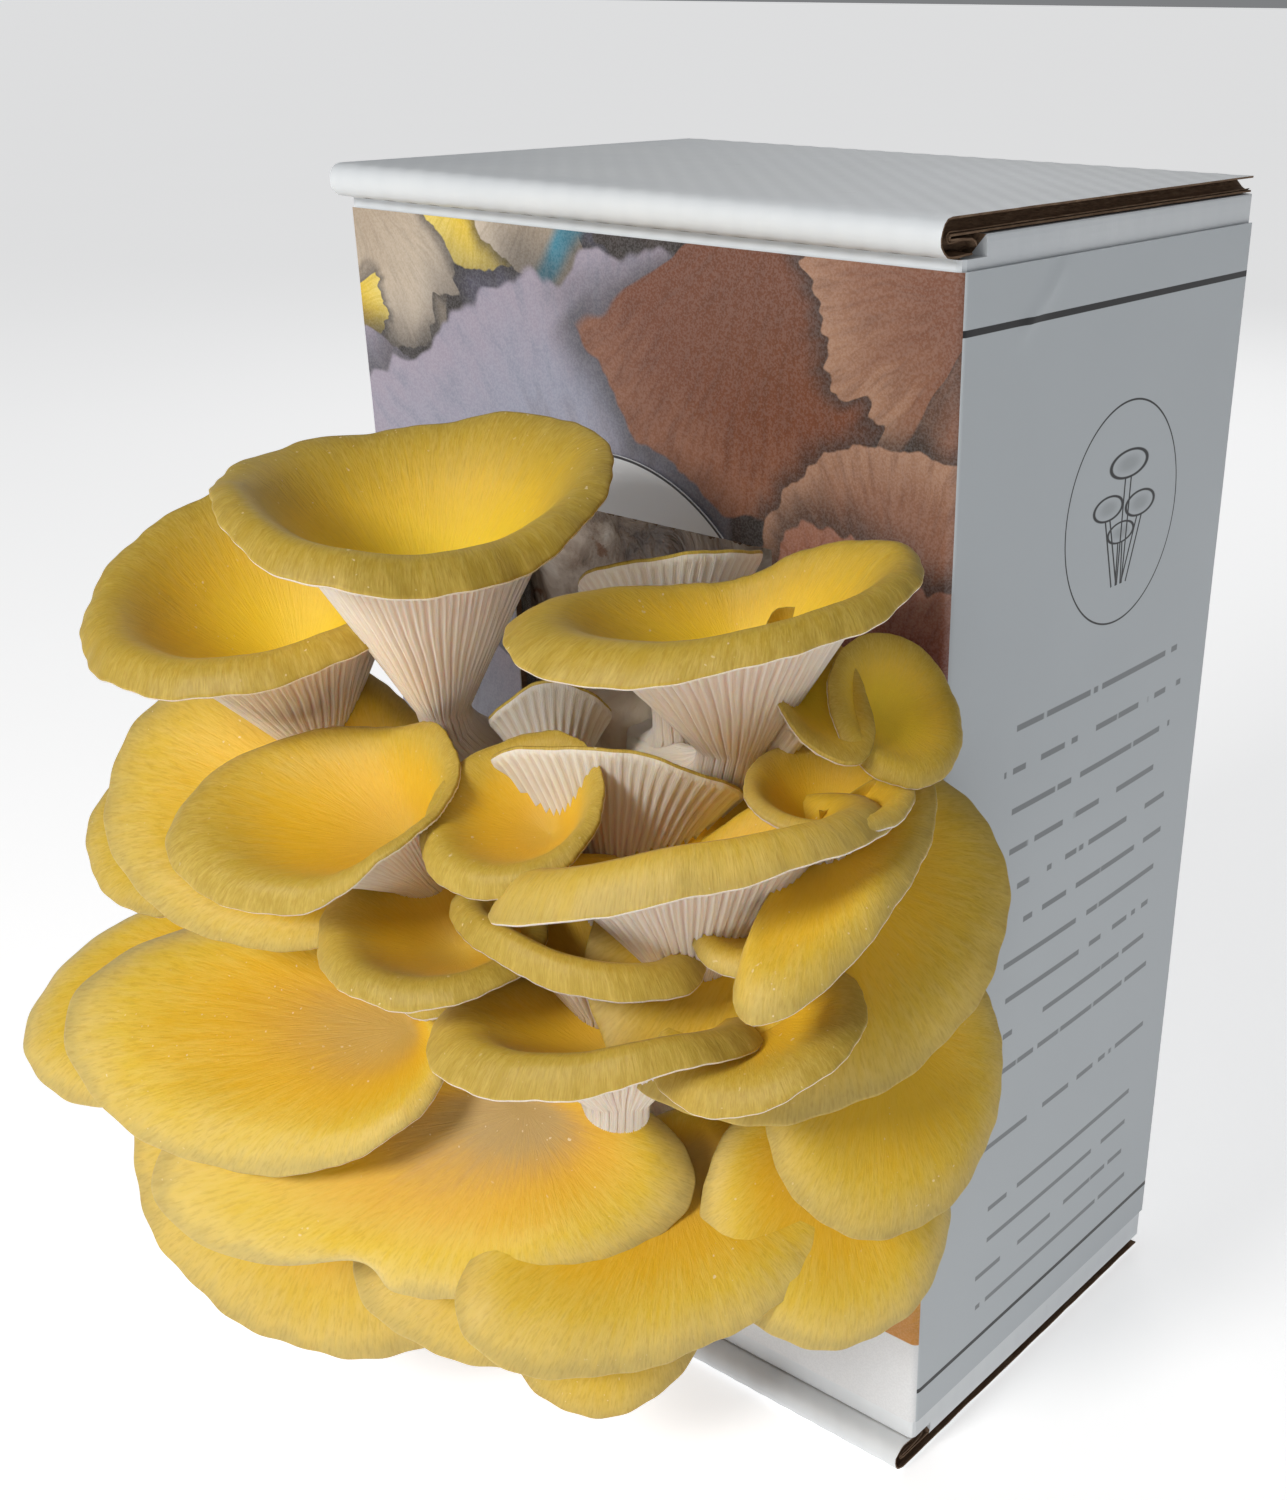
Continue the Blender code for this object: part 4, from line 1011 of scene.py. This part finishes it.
def make_block(surface):
    """The substrate block, lumpy and pitted."""
    low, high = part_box("substrate_block")
    pits = rounded_box(low / MM, high / MM, 7.0, 70,
                       lambda p: 0.9 + wobble(p, 16.0, 0.9) + wobble(p, 5.0, 0.5, 3.0))
    return new_piece("block_felt", pits, [surface], "kit", "mycelium_block", "substrate_block")


def make_bag(surface):
    """The clear film bag, creased, with the window cut out of it."""
    low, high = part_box("grow_bag")

    def in_window(point):
        return (point.y < -HALF_D + 8 and WINDOW_LEFT < point.x < WINDOW_RIGHT
                and WINDOW_LOW < point.z < WINDOW_TOP - 4)

    creases = rounded_box([v + 0.2 for v in low / MM], [v - 0.2 for v in high / MM], 7.5, 60,
                          lambda p: 0.12 + abs(wobble(p, 13.0, 0.5)), in_window)
    bag = new_piece("bag_film", creases, [surface], "kit", "clear_film", "grow_bag")
    film = bag.modifiers.new("film", "SOLIDIFY")
    film.thickness = 0.15 * MM
    film.offset = -1.0
    return bag


def paint_carton(white, kraft):
    """White outside and brown inside for the carton, with brown cut edges, by where each face lies."""
    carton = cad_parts["carton"]
    carton.data.materials.clear()
    carton.data.materials.append(white)
    carton.data.materials.append(kraft)
    inner_x, inner_y = HALF_W - BOARD + 0.2, HALF_D - BOARD + 0.2
    for face in carton.data.polygons:
        centre, normal = face.center / MM, face.normal
        from_end = min(centre.z, HEIGHT - centre.z)
        inside = abs(centre.x) < inner_x and abs(centre.y) < inner_y and normal.length > 0
        hidden = inside and not (abs(normal.z) > 0.5 and from_end < END_FLAPS)
        cut_end = centre.y < -inner_y and from_end < CUT_END
        cut_window = (WINDOW_LEFT - 0.5 < centre.x < WINDOW_RIGHT + 0.5 and centre.y < -inner_y + 4
                      and WINDOW_LOW - 0.5 < centre.z < WINDOW_TOP + 0.5 and abs(normal.y) < 0.5)
        face.material_index = 1 if hidden or cut_end or cut_window else 0


# ---------------------------------------------------------------- stage, light and camera
def make_floor():
    """A plain pale floor."""
    t = Tree("pale_floor")
    cloud = t.noise(t.place(), 3.0, 2.0)
    surface = t.finish(t.mix(cloud, (0.80, 0.80, 0.80), (0.83, 0.83, 0.83)), 0.9,
                       Emission_Color=(1.0, 1.0, 1.0), Emission_Strength=0.55)
    shape = bmesh.new()
    bmesh.ops.create_grid(shape, x_segments=8, y_segments=8, size=400.0)
    data = bpy.data.meshes.new("floor")
    shape.to_mesh(data)
    shape.free()
    data.materials.append(surface)
    floor = bpy.data.objects.new("floor", data)
    floor.location.z = -0.0004
    bpy.context.scene.collection.objects.link(floor)


def area_light(name, place, target, size, watts, colour):
    """A soft area light aimed at a point."""
    data = bpy.data.lights.new(name, "AREA")
    data.shape = "DISK"
    data.size = size
    data.energy = watts
    data.color = colour
    light = bpy.data.objects.new(name, data)
    light.location = place
    light.rotation_euler = (Vector(target) - Vector(place)).to_track_quat("-Z", "Y").to_euler()
    bpy.context.scene.collection.objects.link(light)


def make_light():
    """Soft studio light: a broad key from the camera's left, a fill from the right and a pale sky."""
    world = bpy.data.worlds.new("studio")
    bpy.context.scene.world = world
    world.use_nodes = True
    sky = world.node_tree.nodes["Background"]
    sky.inputs["Color"].default_value = (0.95, 0.97, 1.0, 1.0)
    sky.inputs["Strength"].default_value = 0.22
    middle = (0.0, -0.05, 0.13)
    area_light("key", (-0.02, -0.86, 0.60), middle, 0.28, 5.5, (1.0, 0.98, 0.95))
    area_light("fill", (0.75, -0.95, 0.60), middle, 0.7, 0.7, (0.93, 0.96, 1.0))
    area_light("back", (-0.6, 1.1, 0.9), middle, 0.9, 2.4, (1.0, 1.0, 1.0))
    bpy.context.scene.view_settings.view_transform = "Standard"


def make_camera():
    data = bpy.data.cameras.new("camera")
    data.sensor_width = 36.0
    data.lens = 43.44
    data.shift_x, data.shift_y = -0.121667, 0.132
    data.clip_start = 0.01
    camera = bpy.data.objects.new("camera", data)
    camera.location = (0.2447, -0.3067, 0.2896)
    camera.rotation_euler = tuple(math.radians(a) for a in (62.39, -0.60, 37.77))
    bpy.context.scene.collection.objects.link(camera)
    bpy.context.scene.camera = camera


# ---------------------------------------------------------------- build
white, kraft = board_material(), kraft_material()
make_camera()
make_light()
make_floor()
paint_carton(white, kraft)
make_panel("lid_board", "lid", "lid", True, [white, kraft])
make_panel("floor_board", "bottom_panel", "kit", False, [white, kraft])
make_label([picture_material(), side_print_material(), white])
make_torn_edge(kraft, white)
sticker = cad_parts["sticker"]
sticker.data.materials.clear()
sticker.data.materials.append(sticker_material())
make_block(block_material())
make_bag(film_material())
make_base(base_material())
flesh_surfaces = [cap_top_material(), gill_material()]
for number, (name, shape) in enumerate(MUSHROOMS.items()):
    make_mushroom(name, shape, 1.0 + 1.37 * number, flesh_surfaces)
